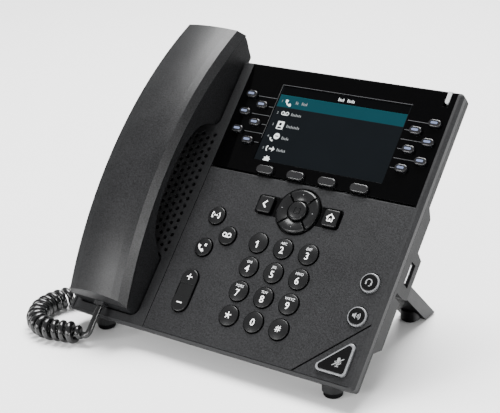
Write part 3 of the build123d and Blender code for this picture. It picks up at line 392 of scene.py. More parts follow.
class Relief:
    """Thin raised shapes on the face, laid over a surface whose height is known."""

    LONGEST_EDGE = 0.9
    MOST_SPLITS = 4

    def __init__(self, height, proud=0.03, depth=0.08, curved=False):
        self.height = height
        self.curved = curved
        self.proud = proud
        self.depth = depth
        self.verts = []
        self.faces = []
        self.indices = []

    def fill(self, loops, index=0):
        """A filled outline, with any further loops as holes."""
        flat = [Vector((x, y, 0)) for loop in loops for x, y in loop]
        triangles = tessellate_polygon([[Vector((x, y, 0)) for x, y in loop] for loop in loops])
        base = len(self.verts)
        count = len(flat)
        for rise in (self.proud, -self.depth):
            for p in flat:
                self.verts.append((p.x, p.y, rise))
        made = []
        for a, b, c in triangles:
            turned = (flat[b] - flat[a]).cross(flat[c] - flat[a]).z > 0
            top = (a, b, c) if turned else (a, c, b)
            made.append(tuple(base + i for i in top))
            made.append(tuple(base + count + i for i in reversed(top)))
        start = 0
        for loop in loops:
            size = len(loop)
            for i in range(size):
                a, b = start + i, start + (i + 1) % size
                made.append((base + a, base + count + a, base + count + b, base + b))
            start += size
        self.faces += made
        self.indices += [index] * len(made)

    def text(self, string, x, y, size, index=0, squeeze=1.0, weight=0.0):
        """Figures and letters set by Blender's own font, centred on x and y."""
        curve = bpy.data.curves.new("lettering", "FONT")
        curve.body = string
        curve.size = size
        curve.align_x = "CENTER"
        curve.align_y = "CENTER"
        curve.offset = weight * size
        curve.resolution_u = 3
        holder = bpy.data.objects.new("lettering", curve)
        mesh = bpy.data.meshes.new_from_object(holder)
        co = [v.co.copy() for v in mesh.vertices]
        mid_x = (min(c.x for c in co) + max(c.x for c in co)) / 2
        mid_y = (min(c.y for c in co) + max(c.y for c in co)) / 2
        base, count = len(self.verts), len(co)
        spots = [(x + (c.x - mid_x) * squeeze, y + c.y - mid_y) for c in co]
        for rise in (self.proud, -self.depth):
            for px, py in spots:
                self.verts.append((px, py, rise))
        uses = {}
        for polygon in mesh.polygons:
            corners = list(polygon.vertices)
            if polygon.normal.z < 0:
                corners.reverse()
            self.faces.append(tuple(base + i for i in corners))
            self.faces.append(tuple(base + count + i for i in reversed(corners)))
            self.indices += [index] * 2
            for a, b in zip(corners, corners[1:] + corners[:1]):
                uses[(a, b)] = uses.get((a, b), 0) + 1
        for a, b in uses:
            if (b, a) not in uses:
                self.faces.append((base + a, base + count + a, base + count + b, base + b))
                self.indices.append(index)
        bpy.data.objects.remove(holder)
        bpy.data.curves.remove(curve)
        bpy.data.meshes.remove(mesh)

    def make(self, name, body, slot, materials):
        """Lays the shapes on the surface, with short edges where it is curved."""
        flat = bpy.data.meshes.new("flat")
        flat.from_pydata(self.verts, [], self.faces)
        flat.polygons.foreach_set("material_index", self.indices)
        work = bmesh.new()
        work.from_mesh(flat)
        bpy.data.meshes.remove(flat)
        bmesh.ops.triangulate(work, faces=work.faces[:])
        for _ in range(self.MOST_SPLITS if self.curved else 0):
            long = [e for e in work.edges if e.calc_length() > self.LONGEST_EDGE]
            if long:
                bmesh.ops.subdivide_edges(work, edges=long, cuts=1)
                bmesh.ops.triangulate(work, faces=work.faces[:])
        spots = [v.co for v in work.verts]
        verts = [on_face(p.x, p.y, self.height(p.x, p.y) + p.z) for p in spots]
        faces = [tuple(v.index for v in f.verts) for f in work.faces]
        indices = [f.material_index for f in work.faces]
        work.free()
        return place_piece(name, verts, faces, materials, body, indices)


def circle(x, y, radius, steps=28, start=0.0, sweep=360.0):
    """Points of an arc; a full circle leaves out the repeated last point."""
    full = sweep == 360.0
    count = steps if full else steps + 1
    return [
        (
            x + radius * math.cos(math.radians(start + sweep * i / steps)),
            y + radius * math.sin(math.radians(start + sweep * i / steps)),
        )
        for i in range(count)
    ]


def box_loop(x, y, width, height, corner=0.0):
    """A rectangle's outline, rounded if asked."""
    w, h = width / 2 - corner, height / 2 - corner
    if not corner:
        return [(x - w, y - h), (x + w, y - h), (x + w, y + h), (x - w, y + h)]
    loop = []
    for cx, cy, start in ((w, h, 0), (-w, h, 90), (-w, -h, 180), (w, -h, 270)):
        loop += circle(x + cx, y + cy, corner, 6, start, 90)
    return loop


def ribbon(points, width):
    """The outline of a stroke along points; width may be one number or one for each point."""
    widths = width if isinstance(width, (list, tuple)) else [width] * len(points)
    one, other = [], []
    for i, (x, y) in enumerate(points):
        ax, ay = points[max(i - 1, 0)]
        bx, by = points[min(i + 1, len(points) - 1)]
        length = math.hypot(bx - ax, by - ay)
        nx, ny = -(by - ay) / length, (bx - ax) / length
        one.append((x + nx * widths[i] / 2, y + ny * widths[i] / 2))
        other.append((x - nx * widths[i] / 2, y - ny * widths[i] / 2))
    return one + other[::-1]


def turned(points, x, y, degrees, scale=1.0):
    """Points turned and scaled about the origin, then moved to x and y."""
    c, s = math.cos(math.radians(degrees)) * scale, math.sin(math.radians(degrees)) * scale
    return [(x + px * c - py * s, y + px * s + py * c) for px, py in points]


def handset_glyph(x, y, size):
    """A small telephone handset: a bow with two thick ends, leaning to the left."""
    bow = circle(0, 0, 0.42, 14, 200, 140)
    end_widths = [0.30, 0.34, 0.34, 0.30, 0.2, 0.15, 0.14]
    widths = end_widths + [0.14] + end_widths[::-1]
    return turned(ribbon(bow, widths), x, y, -42, size)


# ------------------------------------------------------------------ handset cord

# the handset's middle plane on the face
CRADLE_X = -110.5
WIRE_D = 0.0042
HELIX_R = 0.0054
PITCH = 0.00555
STEPS_PER_TURN = 26
COIL_HEIGHT = 0.0075
TAIL_LENGTH = 0.0225
# the coil opens over this length after the tail, and closes over this length at its far end
OPENING, CLOSING = 0.010, 0.008
FIRST_PHASE = 0.6
PLUG_FACE = on_face(CRADLE_X, -151.5, 7.0)
PLUG_GAP, STRAIGHT_OUT = 0.0003, 0.0094
ROUTE = [PLUG_FACE - UP_FACE * PLUG_GAP, PLUG_FACE - UP_FACE * STRAIGHT_OUT] + [
    Vector((x, back + FACE_BACK, COIL_HEIGHT))
    for x, back in (
        (-0.0803, -0.1268),
        (-0.0868, -0.1262),
        (-0.0984, -0.1286),
        (-0.1090, -0.1316),
        (-0.1200, -0.1296),
        (-0.1298, -0.1226),
        (-0.1356, -0.1114),
        (-0.1354, -0.0994),
        (-0.1306, -0.0884),
        (-0.1232, -0.0776),
        (-0.1140, -0.0682),
        (-0.1032, -0.0608),
        (-0.0912, -0.0554),
        (-0.0788, -0.0514),
        (-0.0674, -0.0456),
        (-0.0580, -0.0370),
    )
]


def smooth_route(name, points):
    """A curve with those points as the control points of one open NURBS spline."""
    curve = bpy.data.curves.new(name, "CURVE")
    curve.dimensions = "3D"
    spline = curve.splines.new("NURBS")
    spline.points.add(len(points) - 1)
    for place, point in zip(spline.points, points):
        place.co = (*point, 1.0)
    spline.order_u = 3
    spline.use_endpoint_u = True
    curve.resolution_u = 16
    return curve


def route_line(points):
    """Points along the route's own spline."""
    curve = smooth_route("route", points)
    holder = bpy.data.objects.new("route", curve)
    mesh = bpy.data.meshes.new_from_object(holder)
    line = np.array([v.co for v in mesh.vertices], float)
    bpy.data.objects.remove(holder)
    bpy.data.curves.remove(curve)
    bpy.data.meshes.remove(mesh)
    return line


def resampled(line, step):
    """Points at even steps along a line, and how far along it each of them is."""
    along = np.concatenate([[0], np.cumsum(np.linalg.norm(np.diff(line, axis=0), axis=1))])
    at = np.linspace(0, along[-1], int(math.ceil(along[-1] / step)) + 1)
    return np.stack([np.interp(at, along, line[:, k]) for k in range(3)], axis=1), at


def carried_frames(line):
    """Tangents and a pair of normals carried along a line without twisting."""
    tangents = np.gradient(line, axis=0)
    tangents /= np.linalg.norm(tangents, axis=1)[:, None]
    first = np.cross(tangents[0], (0.0, 0.0, 1.0))
    if np.linalg.norm(first) < 1e-3:
        first = np.array((1.0, 0.0, 0.0))
    normals = [first / np.linalg.norm(first)]
    for tangent in tangents[1:]:
        normal = normals[-1] - tangent * (normals[-1] @ tangent)
        normals.append(normal / np.linalg.norm(normal))
    normals = np.array(normals)
    return tangents, normals, np.cross(tangents, normals)


def tube_mesh(line, radius, sides=12):
    """Vertices and faces of a round tube along a line, closed at both ends."""
    _, one, two = carried_frames(line)
    angles = np.linspace(0, 2 * math.pi, sides, endpoint=False)
    across, up = np.cos(angles)[None, :, None], np.sin(angles)[None, :, None]
    ring = across * one[:, None] + up * two[:, None]
    verts = (line[:, None] + ring * radius).reshape(-1, 3)
    faces = []
    for i in range(len(line) - 1):
        for j in range(sides):
            a, b = i * sides + j, i * sides + (j + 1) % sides
            faces.append((a, b, b + sides, a + sides))
    faces.append(tuple(reversed(range(sides))))
    faces.append(tuple((len(line) - 1) * sides + j for j in range(sides)))
    return verts, faces


def curled(line, step, tail):
    """Winds a line into a helix of wire after a straight tail, and draws it in again at the end."""
    centre, at = resampled(line, step)
    _, one, two = carried_frames(centre)
    total = at[-1]
    grow = np.clip((at - tail) / OPENING, 0, 1) * np.clip((total - at) / CLOSING, 0, 1)
    grow = grow * grow * (3 - 2 * grow)
    phase = 2 * math.pi * (at - tail) / PITCH - FIRST_PHASE
    loose = 1 + 0.035 * np.sin(phase / 5.3) + 0.02 * np.sin(phase / 2.17 + 1.1)
    reach = (HELIX_R * np.minimum(grow * loose, 1.0))[:, None]
    return centre + reach * (np.cos(phase)[:, None] * one + np.sin(phase)[:, None] * two)


wire = curled(route_line(ROUTE), PITCH / STEPS_PER_TURN, TAIL_LENGTH)
wire_verts, wire_faces = tube_mesh(wire, WIRE_D / 2)
handset_cord = place_piece(
    "handset_cord", wire_verts, wire_faces, [CORD], None, smooth=True
)
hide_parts("cord_coil", "cord_handset_tail")
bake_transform(handset_cord)

JACK_MOUTH = on_face(-70.0, -109.0, -15.9)
END_RUN = (ROUTE[-1] - ROUTE[-2]).normalized()
END_GAP, END_LENGTH = 0.0001, 0.0122
JACK_RUN, JACK_DEPTH = 0.012, 0.004
BASE_ROUTE = [ROUTE[-1] + END_RUN * END_GAP, ROUTE[-1] + END_RUN * END_LENGTH] + [
    Vector((-0.0396, -0.0324 + FACE_BACK, 0.0110)),
    Vector((-0.0376, -0.0440 + FACE_BACK, 0.0170)),
    JACK_MOUTH - OUT_OF_FACE * JACK_RUN,
    JACK_MOUTH + OUT_OF_FACE * JACK_DEPTH,
]
base_curve = smooth_route("base_tail", BASE_ROUTE)
base_curve.bevel_depth = WIRE_D / 2
base_curve.bevel_resolution = 4
base_curve.use_fill_caps = True
base_curve.materials.append(CORD)
base_tail = bpy.data.objects.new("base_tail", base_curve)
bpy.context.scene.collection.objects.link(base_tail)
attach(base_tail, "root")
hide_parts("cord_base_tail")
base_line = route_line(BASE_ROUTE)

# ------------------------------------------------------------------ key legends

# height of a key's middle over the face, its radius and how far its edge falls
DOME_DIGIT = (1.8, 6.2, 0.7)
DOME_ROUND = (1.8, 5.65, 0.4)
SQUARE_KEY_Z, ROCKER_Z = 2.0, 1.8


def dome_height(centre, rise, reach, sag):
    """Height of a domed cap over the face at any place on it."""
    radius = (reach**2 + sag**2) / (2 * sag)

    def height(x, y):
        square = min((x - centre[0]) ** 2 + (y - centre[1]) ** 2, reach**2)
        return rise - radius + math.sqrt(radius**2 - square)

    return height


def level(z):
    """A flat surface at one height over the face."""
    return lambda x, y: z


def cap_relief(key, dome):
    """A relief on a domed key, and the key's middle."""
    middle = face_centre(key)
    return Relief(dome_height(middle, *dome), curved=True), *middle


DIGIT_LETTERS = {
    "1": "", "2": "ABC", "3": "DEF", "4": "GHI", "5": "JKL", "6": "MNO",
    "7": "PQRS", "8": "TUV", "9": "WXYZ", "0": "",
}
FIGURE_ONE = [
    (0.0, -2.3), (0.75, -2.3), (0.75, 2.3), (0.1, 2.3), (-1.3, 1.2), (-0.9, 0.65), (0.0, 1.3),
]
FIGURE_SIZE, LETTER_SIZE, LETTER_RISE = 6.4, 2.5, 3.2
ONE_DROP, FIGURE_DROP, ZERO_DROP = 1.3, 1.4, 0.2
for figure, letters in DIGIT_LETTERS.items():
    key = f"key_{figure}"
    legend, cx, cy = cap_relief(key, DOME_DIGIT)
    if figure == "1":
        legend.fill([[(cx + px, cy + py - ONE_DROP) for px, py in FIGURE_ONE]])
    else:
        drop = FIGURE_DROP if letters else ZERO_DROP
        legend.text(figure, cx, cy - drop, FIGURE_SIZE, weight=0.006)
    if letters:
        legend.text(letters, cx, cy + LETTER_RISE, LETTER_SIZE, 1, squeeze=0.95, weight=0.0)
    legend.make(f"legend_{figure}", key, "keycap", [PRINT, PRINT_FINE])

star, cx, cy = cap_relief("key_star", DOME_DIGIT)
for spoke in range(5):
    star.fill([turned(box_loop(0, 1.15, 0.65, 2.3), cx, cy, 72 * spoke)])
star.make("legend_star", "key_star", "keycap", [PRINT])

hash_mark, cx, cy = cap_relief("key_hash", DOME_DIGIT)
for shift in (-0.7, 0.7):
    hash_mark.fill([[(cx + shift - 0.65, cy - 2.0), (cx + shift - 0.2, cy - 2.0),
                     (cx + shift + 0.65, cy + 2.0), (cx + shift + 0.2, cy + 2.0)]])
    hash_mark.fill([box_loop(cx + shift * 0.12, cy + shift, 3.7, 0.45)])
hash_mark.make("legend_hash", "key_hash", "keycap", [PRINT])

transfer, cx, cy = cap_relief("transfer_key", DOME_ROUND)
BOW_WIDTHS = [1.1, 1.15, 1.1, 0.8, 0.6, 0.55]
for side in (-1, 1):
    bow = [(side * px, py) for px, py in circle(-0.55, 0, 2.35, 12, 128, 104)]
    bow = [(cx + px, cy + py) for px, py in bow]
    transfer.fill([ribbon(bow, BOW_WIDTHS + [0.55] + BOW_WIDTHS[::-1])])
    tip, back = cx + side * 1.55, cx + side * 0.75
    transfer.fill([[(tip, cy), (back, cy + 0.8), (back, cy - 0.8)]])
transfer.fill([box_loop(cx, cy, 1.7, 0.5)])
transfer.make("legend_transfer", "transfer_key", "keycap", [PRINT])

messages, cx, cy = cap_relief("messages_key", DOME_ROUND)
for side in (-1, 1):
    reel_x, reel_y = cx + side * 1.75, cy + 0.2
    messages.fill([circle(reel_x, reel_y, 1.6), circle(reel_x, reel_y, 1.05)[::-1]])
messages.fill([box_loop(cx, cy - 1.1, 3.5, 0.55)])
messages.make("legend_messages", "messages_key", "keycap", [PRINT])

hold, cx, cy = cap_relief("hold_key", DOME_ROUND)
hold.fill([handset_glyph(cx - 0.1, cy + 0.1, 6.0)])
for bar_x in (1.25, 2.15):
    hold.fill([box_loop(cx + bar_x, cy + 1.55, 0.55, 1.7)])
hold.make("legend_hold", "hold_key", "keycap", [PRINT])

cx, cy = face_centre("back_key")
chevron = Relief(level(SQUARE_KEY_Z))
chevron.fill([ribbon([(cx + 1.1, cy + 2.3), (cx - 1.2, cy), (cx + 1.1, cy - 2.3)], 1.0)])
chevron.make("legend_back", "back_key", "keycap", [PRINT])

cx, cy = face_centre("home_key")
home = Relief(level(SQUARE_KEY_Z))
HOUSE = [
    (0, 2.9), (-3.0, 0.25), (-2.5, -0.25), (-2.05, 0.15), (-2.05, -2.5), (2.05, -2.5),
    (2.05, 0.15), (2.5, -0.25), (3.0, 0.25),
]
HOUSE_INSIDE = [
    (0, 2.0), (1.5, 0.65), (1.5, -2.0), (0.5, -2.0), (0.5, -0.6), (-0.5, -0.6),
    (-0.5, -2.0), (-1.5, -2.0), (-1.5, 0.65),
]
home.fill([[(cx + px, cy + py) for px, py in loop] for loop in (HOUSE, HOUSE_INSIDE)])
home.make("legend_home", "home_key", "keycap", [PRINT])

cx, cy = face_centre("volume_rocker")
volume = Relief(level(ROCKER_Z))
PLUS_Y, MINUS_Y, SIGN_LENGTH, SIGN_WIDTH = 9.2, -8.6, 4.0, 0.7
volume.fill([box_loop(cx, cy + PLUS_Y, SIGN_LENGTH, SIGN_WIDTH)])
volume.fill([box_loop(cx, cy + PLUS_Y, SIGN_WIDTH, SIGN_LENGTH)])
volume.fill([box_loop(cx, cy + MINUS_Y, SIGN_LENGTH, SIGN_WIDTH)])
volume.make("legend_volume", "volume_rocker", "keycap", [PRINT])

# ------------------------------------------------------------------ handset parting line

HANDSET_HALF_W = 23.8
ARCH_Y, ARCH_Z, PARTING_R = -48.2, -245.0, 274.6
MOUTH_END, EAR_END = -148.4, 55.6
JOIN_R = 0.00024
join_ys = np.linspace(MOUTH_END, EAR_END, 80)
join_zs = [ARCH_Z + math.sqrt(PARTING_R**2 - (y - ARCH_Y) ** 2) for y in join_ys]
for side, side_name in ((-1, "left"), (1, "right")):
    join_x = CRADLE_X + side * HANDSET_HALF_W
    join = [on_face(join_x, y, z) for y, z in zip(join_ys, join_zs)]
    join_verts, join_faces = tube_mesh(np.array(join), JOIN_R, 8)
    place_piece(f"parting_line_{side_name}", join_verts, join_faces, [JOIN], "handset")

# ------------------------------------------------------------------ navigation cluster

cx, cy = face_centre("nav_ring")
BED_Z, BED_REACH, BED_HALF_H, BED_CORNER = -0.8, 31.1, 6.6, 2.2
WELL_R, SIDE_KEY_X = 16.15, 24.4
GROOVE_IN, GROOVE_OUT, GROOVE_HALF_W = 7.9, 14.2, 0.7
RING_Z, DISH_R, DISH_SAG = 1.9, 5.3, 0.7
DOT_REACH, DOT_R = 11.3, 0.28
beds = Relief(level(BED_Z), proud=0.1, depth=0.02)
for side in (-1, 1):
    inner = [(side * px, py) for px, py in circle(0, 0, WELL_R, 10, 24, -48)]
    outer = circle(BED_REACH - BED_CORNER, -BED_HALF_H + BED_CORNER, BED_CORNER, 6, 270, 90)
    outer += circle(BED_REACH - BED_CORNER, BED_HALF_H - BED_CORNER, BED_CORNER, 6, 0, 90)
    outer = [(side * px, py) for px, py in outer]
    beds.fill([
        [(cx + px, cy + py) for px, py in inner + outer],
        box_loop(cx + side * SIDE_KEY_X, cy, 11.5, 12.1, 1.9)[::-1],
    ])
beds.make("nav_bed", "root", "nav_gloss", [NAV_BED])
# painted shade: near-black strips on the floors of the nav ring's four grooves
groove_shade = Relief(level(0.1), proud=0.05, depth=0.02)
GROOVE = [
    (GROOVE_IN, -GROOVE_HALF_W), (GROOVE_OUT, -GROOVE_HALF_W),
    (GROOVE_OUT, GROOVE_HALF_W), (GROOVE_IN, GROOVE_HALF_W),
]
for angle in (47, 133, 227, 313):
    groove_shade.fill([turned(GROOVE, cx, cy, angle)])
groove_shade.make("nav_groove_shade", "nav_ring", "nav_gloss", [PANEL])

dots = Relief(level(RING_Z), proud=0.1)
for quarter in range(4):
    spot_x, spot_y = turned([(DOT_REACH, 0)], cx, cy, 90 * quarter)[0]
    dots.fill([circle(spot_x, spot_y, DOT_R, 12)])
dots.make("nav_dots", "nav_ring", "nav_gloss", [PRINT_DIM])


def dish_height(x, y):
    """Height of the select key's hollowed top over the face."""
    square = (x - cx) ** 2 + (y - cy) ** 2
    radius = (DISH_R**2 + DISH_SAG**2) / (2 * DISH_SAG)
    return RING_Z + radius - math.sqrt(radius**2 - min(square, DISH_R**2))


mark = Relief(dish_height, proud=0.03, curved=True)
mark.fill([box_loop(cx, cy, 4.6, 4.6, 0.9), box_loop(cx, cy, 3.5, 3.5, 0.5)[::-1]])
mark.make("select_mark", "select_key", "nav_gloss", [KEY_TOP])

# ------------------------------------------------------------------ keys with a lit rim

# the negative depths of these legends keep them within the thickness of the black caps
LIT_TOP_R, LIT_TOP_THICK = 5.3, 0.45
MUTE_TOP_THICK = 0.4
MUTE_LEG, MUTE_FLANGE = 25.6, 0.5


def domed_top(name, body, outline, height, thickness, rings=5):
    """A black cap set on a key: the outline drawn in to its middle, on the key's own surface."""
    count = len(outline)
    mid_x = sum(p[0] for p in outline) / count
    mid_y = sum(p[1] for p in outline) / count
    verts, faces = [], []
    profile = [(1.0, -0.3), (1.0, thickness - 0.12), (0.985, thickness - 0.03)]
    profile += [(0.95 * (rings - i) / rings, thickness) for i in range(rings)]
    for share, lift in profile:
        for x, y in outline:
            px, py = mid_x + (x - mid_x) * share, mid_y + (y - mid_y) * share
            verts.append(on_face(px, py, height(px, py) + lift))
    for ring in range(len(profile) - 1):
        for j in range(count):
            a, b = ring * count + j, ring * count + (j + 1) % count
            faces.append((a, b, b + count, a + count))
    verts.append(on_face(mid_x, mid_y, height(mid_x, mid_y) + thickness))
    last = (len(profile) - 1) * count
    for j in range(count):
        faces.append((last + j, last + (j + 1) % count, len(verts) - 1))
    faces.append(tuple(reversed(range(count))))
    return place_piece(name, verts, faces, [KEY_TOP], body)


def rounded_corner(corner, before, after, radius, steps=8):
    """Points of an arc that rounds one corner of an outline."""
    c, p, n = (np.array(q, float) for q in (corner, before, after))
    d1, d2 = (p - c) / np.linalg.norm(p - c), (n - c) / np.linalg.norm(n - c)
    half = math.acos(float(np.clip(d1 @ d2, -1, 1))) / 2
    reach = radius / math.tan(half)
    middle = c + (d1 + d2) / np.linalg.norm(d1 + d2) * radius / math.sin(half)
    start, end = c + d1 * reach - middle, c + d2 * reach - middle
    a0 = math.atan2(start[1], start[0])
    a1 = math.atan2(end[1], end[0])
    turn = (a1 - a0 + math.pi) % (2 * math.pi) - math.pi
    return [
        (middle[0] + radius * math.cos(a0 + turn * i / steps),
         middle[1] + radius * math.sin(a0 + turn * i / steps))
        for i in range(steps + 1)
    ]


def triangle_loop(inset, radius):
    """The mute key's outline, smaller by inset all round."""
    low, high = face_box("mute_key")
    corner = (high[0] - MUTE_FLANGE - inset, low[1] + MUTE_FLANGE + inset)
    leg = MUTE_LEG - inset * (2 + math.sqrt(2))
    points = [corner, (corner[0], corner[1] + leg), (corner[0] - leg, corner[1])]
    loop = []
    for i in range(3):
        loop += rounded_corner(points[i], points[i - 1], points[(i + 1) % 3], radius)
    return loop


for key, icon in (("headset_key", "headset"), ("speaker_key", "speaker")):
    cx, cy = face_centre(key)
    surface = dome_height((cx, cy), *DOME_ROUND)
    domed_top(f"{icon}_top", key, circle(cx, cy, LIT_TOP_R, 40), surface, LIT_TOP_THICK)
    legend = Relief(surface, proud=0.48, depth=-0.38, curved=True)
    if icon == "headset":
        legend.fill([ribbon(circle(cx, cy - 0.1, 1.95, 16, -25, 230), 0.55)])
        for side in (-1, 1):
            legend.fill([box_loop(cx + side * 1.75, cy - 0.9, 1.0, 1.5, 0.3)])
        boom = [(cx + 1.9, cy - 1.5), (cx + 1.3, cy - 2.3), (cx + 0.2, cy - 2.4)]
        legend.fill([ribbon(boom, 0.4)])
    else:
        legend.fill([[(cx - 2.6, cy - 0.75), (cx - 1.6, cy - 0.75), (cx - 0.3, cy - 1.9),
                      (cx - 0.3, cy + 1.9), (cx - 1.6, cy + 0.75), (cx - 2.6, cy + 0.75)]])
        for reach in (1.2, 2.1, 3.0):
            legend.fill([ribbon(circle(cx - 0.4, cy, reach, 8, -40, 80), 0.42)])
    legend.make(f"legend_{icon}", key, "lit_key", [PRINT_DIM])

domed_top("mute_top", "mute_key", triangle_loop(1.5, 1.9), level(SQUARE_KEY_Z), MUTE_TOP_THICK)
low, high = face_box("mute_key")
cx, cy = high[0] - 7.6, low[1] + 8.2
mute = Relief(level(SQUARE_KEY_Z), proud=0.43, depth=-0.33)
mute.fill([box_loop(cx, cy + 1.2, 1.9, 3.7, 0.9)])
mute.fill([ribbon(circle(cx, cy + 0.6, 1.9, 12, 180, 180), 0.5)])
mute.fill([box_loop(cx, cy - 1.9, 0.5, 1.2)])
mute.fill([box_loop(cx, cy - 2.5, 2.2, 0.5)])
mute.fill([ribbon([(cx - 3.3, cy - 2.4), (cx + 3.3, cy + 2.9)], 0.55)])
mute.make("legend_mute", "mute_key", "lit_key", [PRINT_DIM])

# painted shade: near-black strips on the corner groove's floor and in the gap along the fascia's
# left edge, where shade falls
GROOVE_Z, FASCIA_LEFT = -0.8, -77.43
corner_groove_shade = Relief(level(GROOVE_Z), proud=0.06, depth=0.02)
corner_groove_shade.fill([ribbon([(37.0, -154.6), (75.5, -116.1)], 1.05)])
corner_groove_shade.make("corner_groove_shade", "root", "fascia", [NAV_BED])
edge_gap_shade = Relief(level(0.0), proud=0.02, depth=0.3)
edge_gap_shade.fill([ribbon([(FASCIA_LEFT, -155.0), (FASCIA_LEFT, 40.2)], 0.45)])
edge_gap_shade.make("edge_gap_shade", "root", "fascia", [NAV_BED])

# ------------------------------------------------------------------ sockets

BLOCK_SIDES = (
    (0, 2, 3, 1), (4, 5, 7, 6), (0, 1, 5, 4), (2, 6, 7, 3), (0, 4, 6, 2), (1, 3, 7, 5),
)


def blocks(name, boxes, look):
    """Blocks in one piece on the root; each box gives its low and high x, y and z on the face."""
    verts, faces = [], []
    for x0, x1, y0, y1, z0, z1 in boxes:
        base = len(verts)
        verts += [on_face(x, y, z) for z in (z0, z1) for y in (y0, y1) for x in (x0, x1)]
        faces += [tuple(base + k for k in side) for side in BLOCK_SIDES]
    return place_piece(name, verts, faces, [look], "root")


USB_X0, USB_X1 = 66.5, 78.3
USB_Y0, USB_Y1, USB_Z0, USB_Z1 = -83.2, -68.8, -18.6, -12.6
SHELL = 0.5
TONGUE_OUT, TONGUE_SIDE, TONGUE_Z0, TONGUE_Z1 = 0.9, 1.3, 3.3, 4.6
USB_PINS, PIN_HALF_W, PIN_THICK = (-79.5, -77.1, -74.9, -72.5), 0.6, 0.12
blocks("usb_shell", [
    (USB_X0, USB_X1, USB_Y0, USB_Y0 + SHELL, USB_Z0, USB_Z1),
    (USB_X0, USB_X1, USB_Y1 - SHELL, USB_Y1, USB_Z0, USB_Z1),
    (USB_X0, USB_X1, USB_Y0 + SHELL, USB_Y1 - SHELL, USB_Z0, USB_Z0 + SHELL),
    (USB_X0, USB_X1, USB_Y0 + SHELL, USB_Y1 - SHELL, USB_Z1 - SHELL, USB_Z1),
    (USB_X0, USB_X0 + SHELL, USB_Y0 + SHELL, USB_Y1 - SHELL, USB_Z0 + SHELL, USB_Z1 - SHELL),
], DARK_STEEL)
blocks("usb_tongue", [(
    USB_X0 + SHELL, USB_X1 + TONGUE_OUT, USB_Y0 + TONGUE_SIDE, USB_Y1 - TONGUE_SIDE,
    USB_Z0 + TONGUE_Z0, USB_Z0 + TONGUE_Z1,
)], PRINT_FINE)
pin_z = USB_Z0 + 3.2
blocks("usb_contacts", [
    (USB_X0 + 2.0, USB_X1 - 2.2, y - PIN_HALF_W, y + PIN_HALF_W, pin_z, pin_z + PIN_THICK)
    for y in USB_PINS
], GOLD)

PORT_Y, PORT_FLOOR = -109.0, -9.25
# each jack's middle, its contacts and their pitch
JACKS = ((-70.0, 4, 1.27), (-48.0, 4, 1.27), (-22.0, 8, 1.02), (0.0, 8, 1.02))
CONTACT_HALF_W = 0.22
CONTACT_YZ = (PORT_Y - 2.6, PORT_Y + 1.8, PORT_FLOOR - 1.3, PORT_FLOOR - 0.9)
contacts = []
for port_x, count, pitch in JACKS:
    for i in range(count):
        x = port_x + (i - (count - 1) / 2) * pitch
        contacts.append((x - CONTACT_HALF_W, x + CONTACT_HALF_W, *CONTACT_YZ))
blocks("jack_contacts", contacts, GOLD)
PIN_X, PIN_R, PIN_STEPS, PIN_ENDS = 22.0, 1.05, 20, (-14.6, -9.4)
pin_verts = []
for z in PIN_ENDS:
    pin_verts += [on_face(x, y, z) for x, y in circle(PIN_X, PORT_Y, PIN_R, PIN_STEPS)]
pin_faces = []
for i in range(PIN_STEPS):
    after = (i + 1) % PIN_STEPS
    pin_faces.append((i, after, PIN_STEPS + after, PIN_STEPS + i))
pin_faces += [tuple(reversed(range(PIN_STEPS))), tuple(range(PIN_STEPS, 2 * PIN_STEPS))]
place_piece("power_pin", pin_verts, pin_faces, [STEEL], "root")

# ------------------------------------------------------------------ line keys and panel print

LINE_KEY_Z, LINE_KEY_REACH = 2.5, 4.9
WINDOW_EDGE, LINE_WIDTH = 49.2, 0.28
lines = Relief(level(0.0), proud=0.02)
for side, sign in (("left", -1), ("right", 1)):
    for row in range(1, 7):
        key = f"line_key_{side}_{row}"
        cx, cy = face_centre(key)
        lamp = Relief(level(LINE_KEY_Z), proud=0.05)
        lamp.fill([box_loop(cx - 0.2, cy + 0.1, 4.6, 1.5, 0.7)])
        lamp.make(f"lamp_{side}_{row}", key, "line_key", [LAMP])
        outer = abs(cx) - LINE_KEY_REACH
        middle, length = (outer + WINDOW_EDGE) / 2, outer - WINDOW_EDGE
        lines.fill([box_loop(sign * middle, cy, length, LINE_WIDTH)])
lines.make("panel_lines", "root", "gloss_panel", [PANEL_PRINT])

# ------------------------------------------------------------------ display contents

low, high = face_box("lcd_screen")
SCREEN_Z, SCREEN_WIDTH = high[2], 95.0
ROW_TOP, ROW_HEIGHT = 21.0, 8.75
TITLE_X, TITLE_Y, TITLE_SIZE, TITLE_SPACE, TITLE_RUNS = -4.5, 22.9, 2.3, 1.6, (5.2, 6.0)
ui = Relief(level(SCREEN_Z), proud=0.03, depth=0.1)
ui.fill([box_loop(0, 24.2, SCREEN_WIDTH, 6.3)])
ui.fill([box_loop(0, ROW_TOP - ROW_HEIGHT / 2, SCREEN_WIDTH, ROW_HEIGHT)], 1)
ui.fill([box_loop(0, ROW_TOP + 0.02, SCREEN_WIDTH, 0.35)], 2)
ui.make("screen_fields", "root", "screen", [SCREEN_TITLE, SCREEN_ROW, SCREEN_ROW_EDGE])

words = Relief(level(SCREEN_Z), proud=0.05, depth=0.02)
TEXT, ICON = 0, 1
WORD_RUNS = [(3.4, 4.6), (8.6,), (10.8,), (6.0,), (7.8,)]
WORD_X, WORD_DROP, WORD_SIZE, WORD_SPACE = -34.2, 1.0, 2.1, 1.2
FIGURE_X, ICON_X = -44.6, -38.8
LETTER_PITCH, LETTER_WIDTH = 1.15, 0.55
LETTER_HEIGHTS = (0.62, 0.75, 0.62, 0.9)


def greeked(x, y, width, height, index):
    """Unreadable lettering: a row of short strokes of uneven height."""
    for i in range(int(width / LETTER_PITCH)):
        tall = height * (LETTER_HEIGHTS[i % 4] if i else 1.0)
        middle = x + (i + 0.5) * LETTER_PITCH
        words.fill([box_loop(middle, y + tall / 2, LETTER_WIDTH, tall)], index)


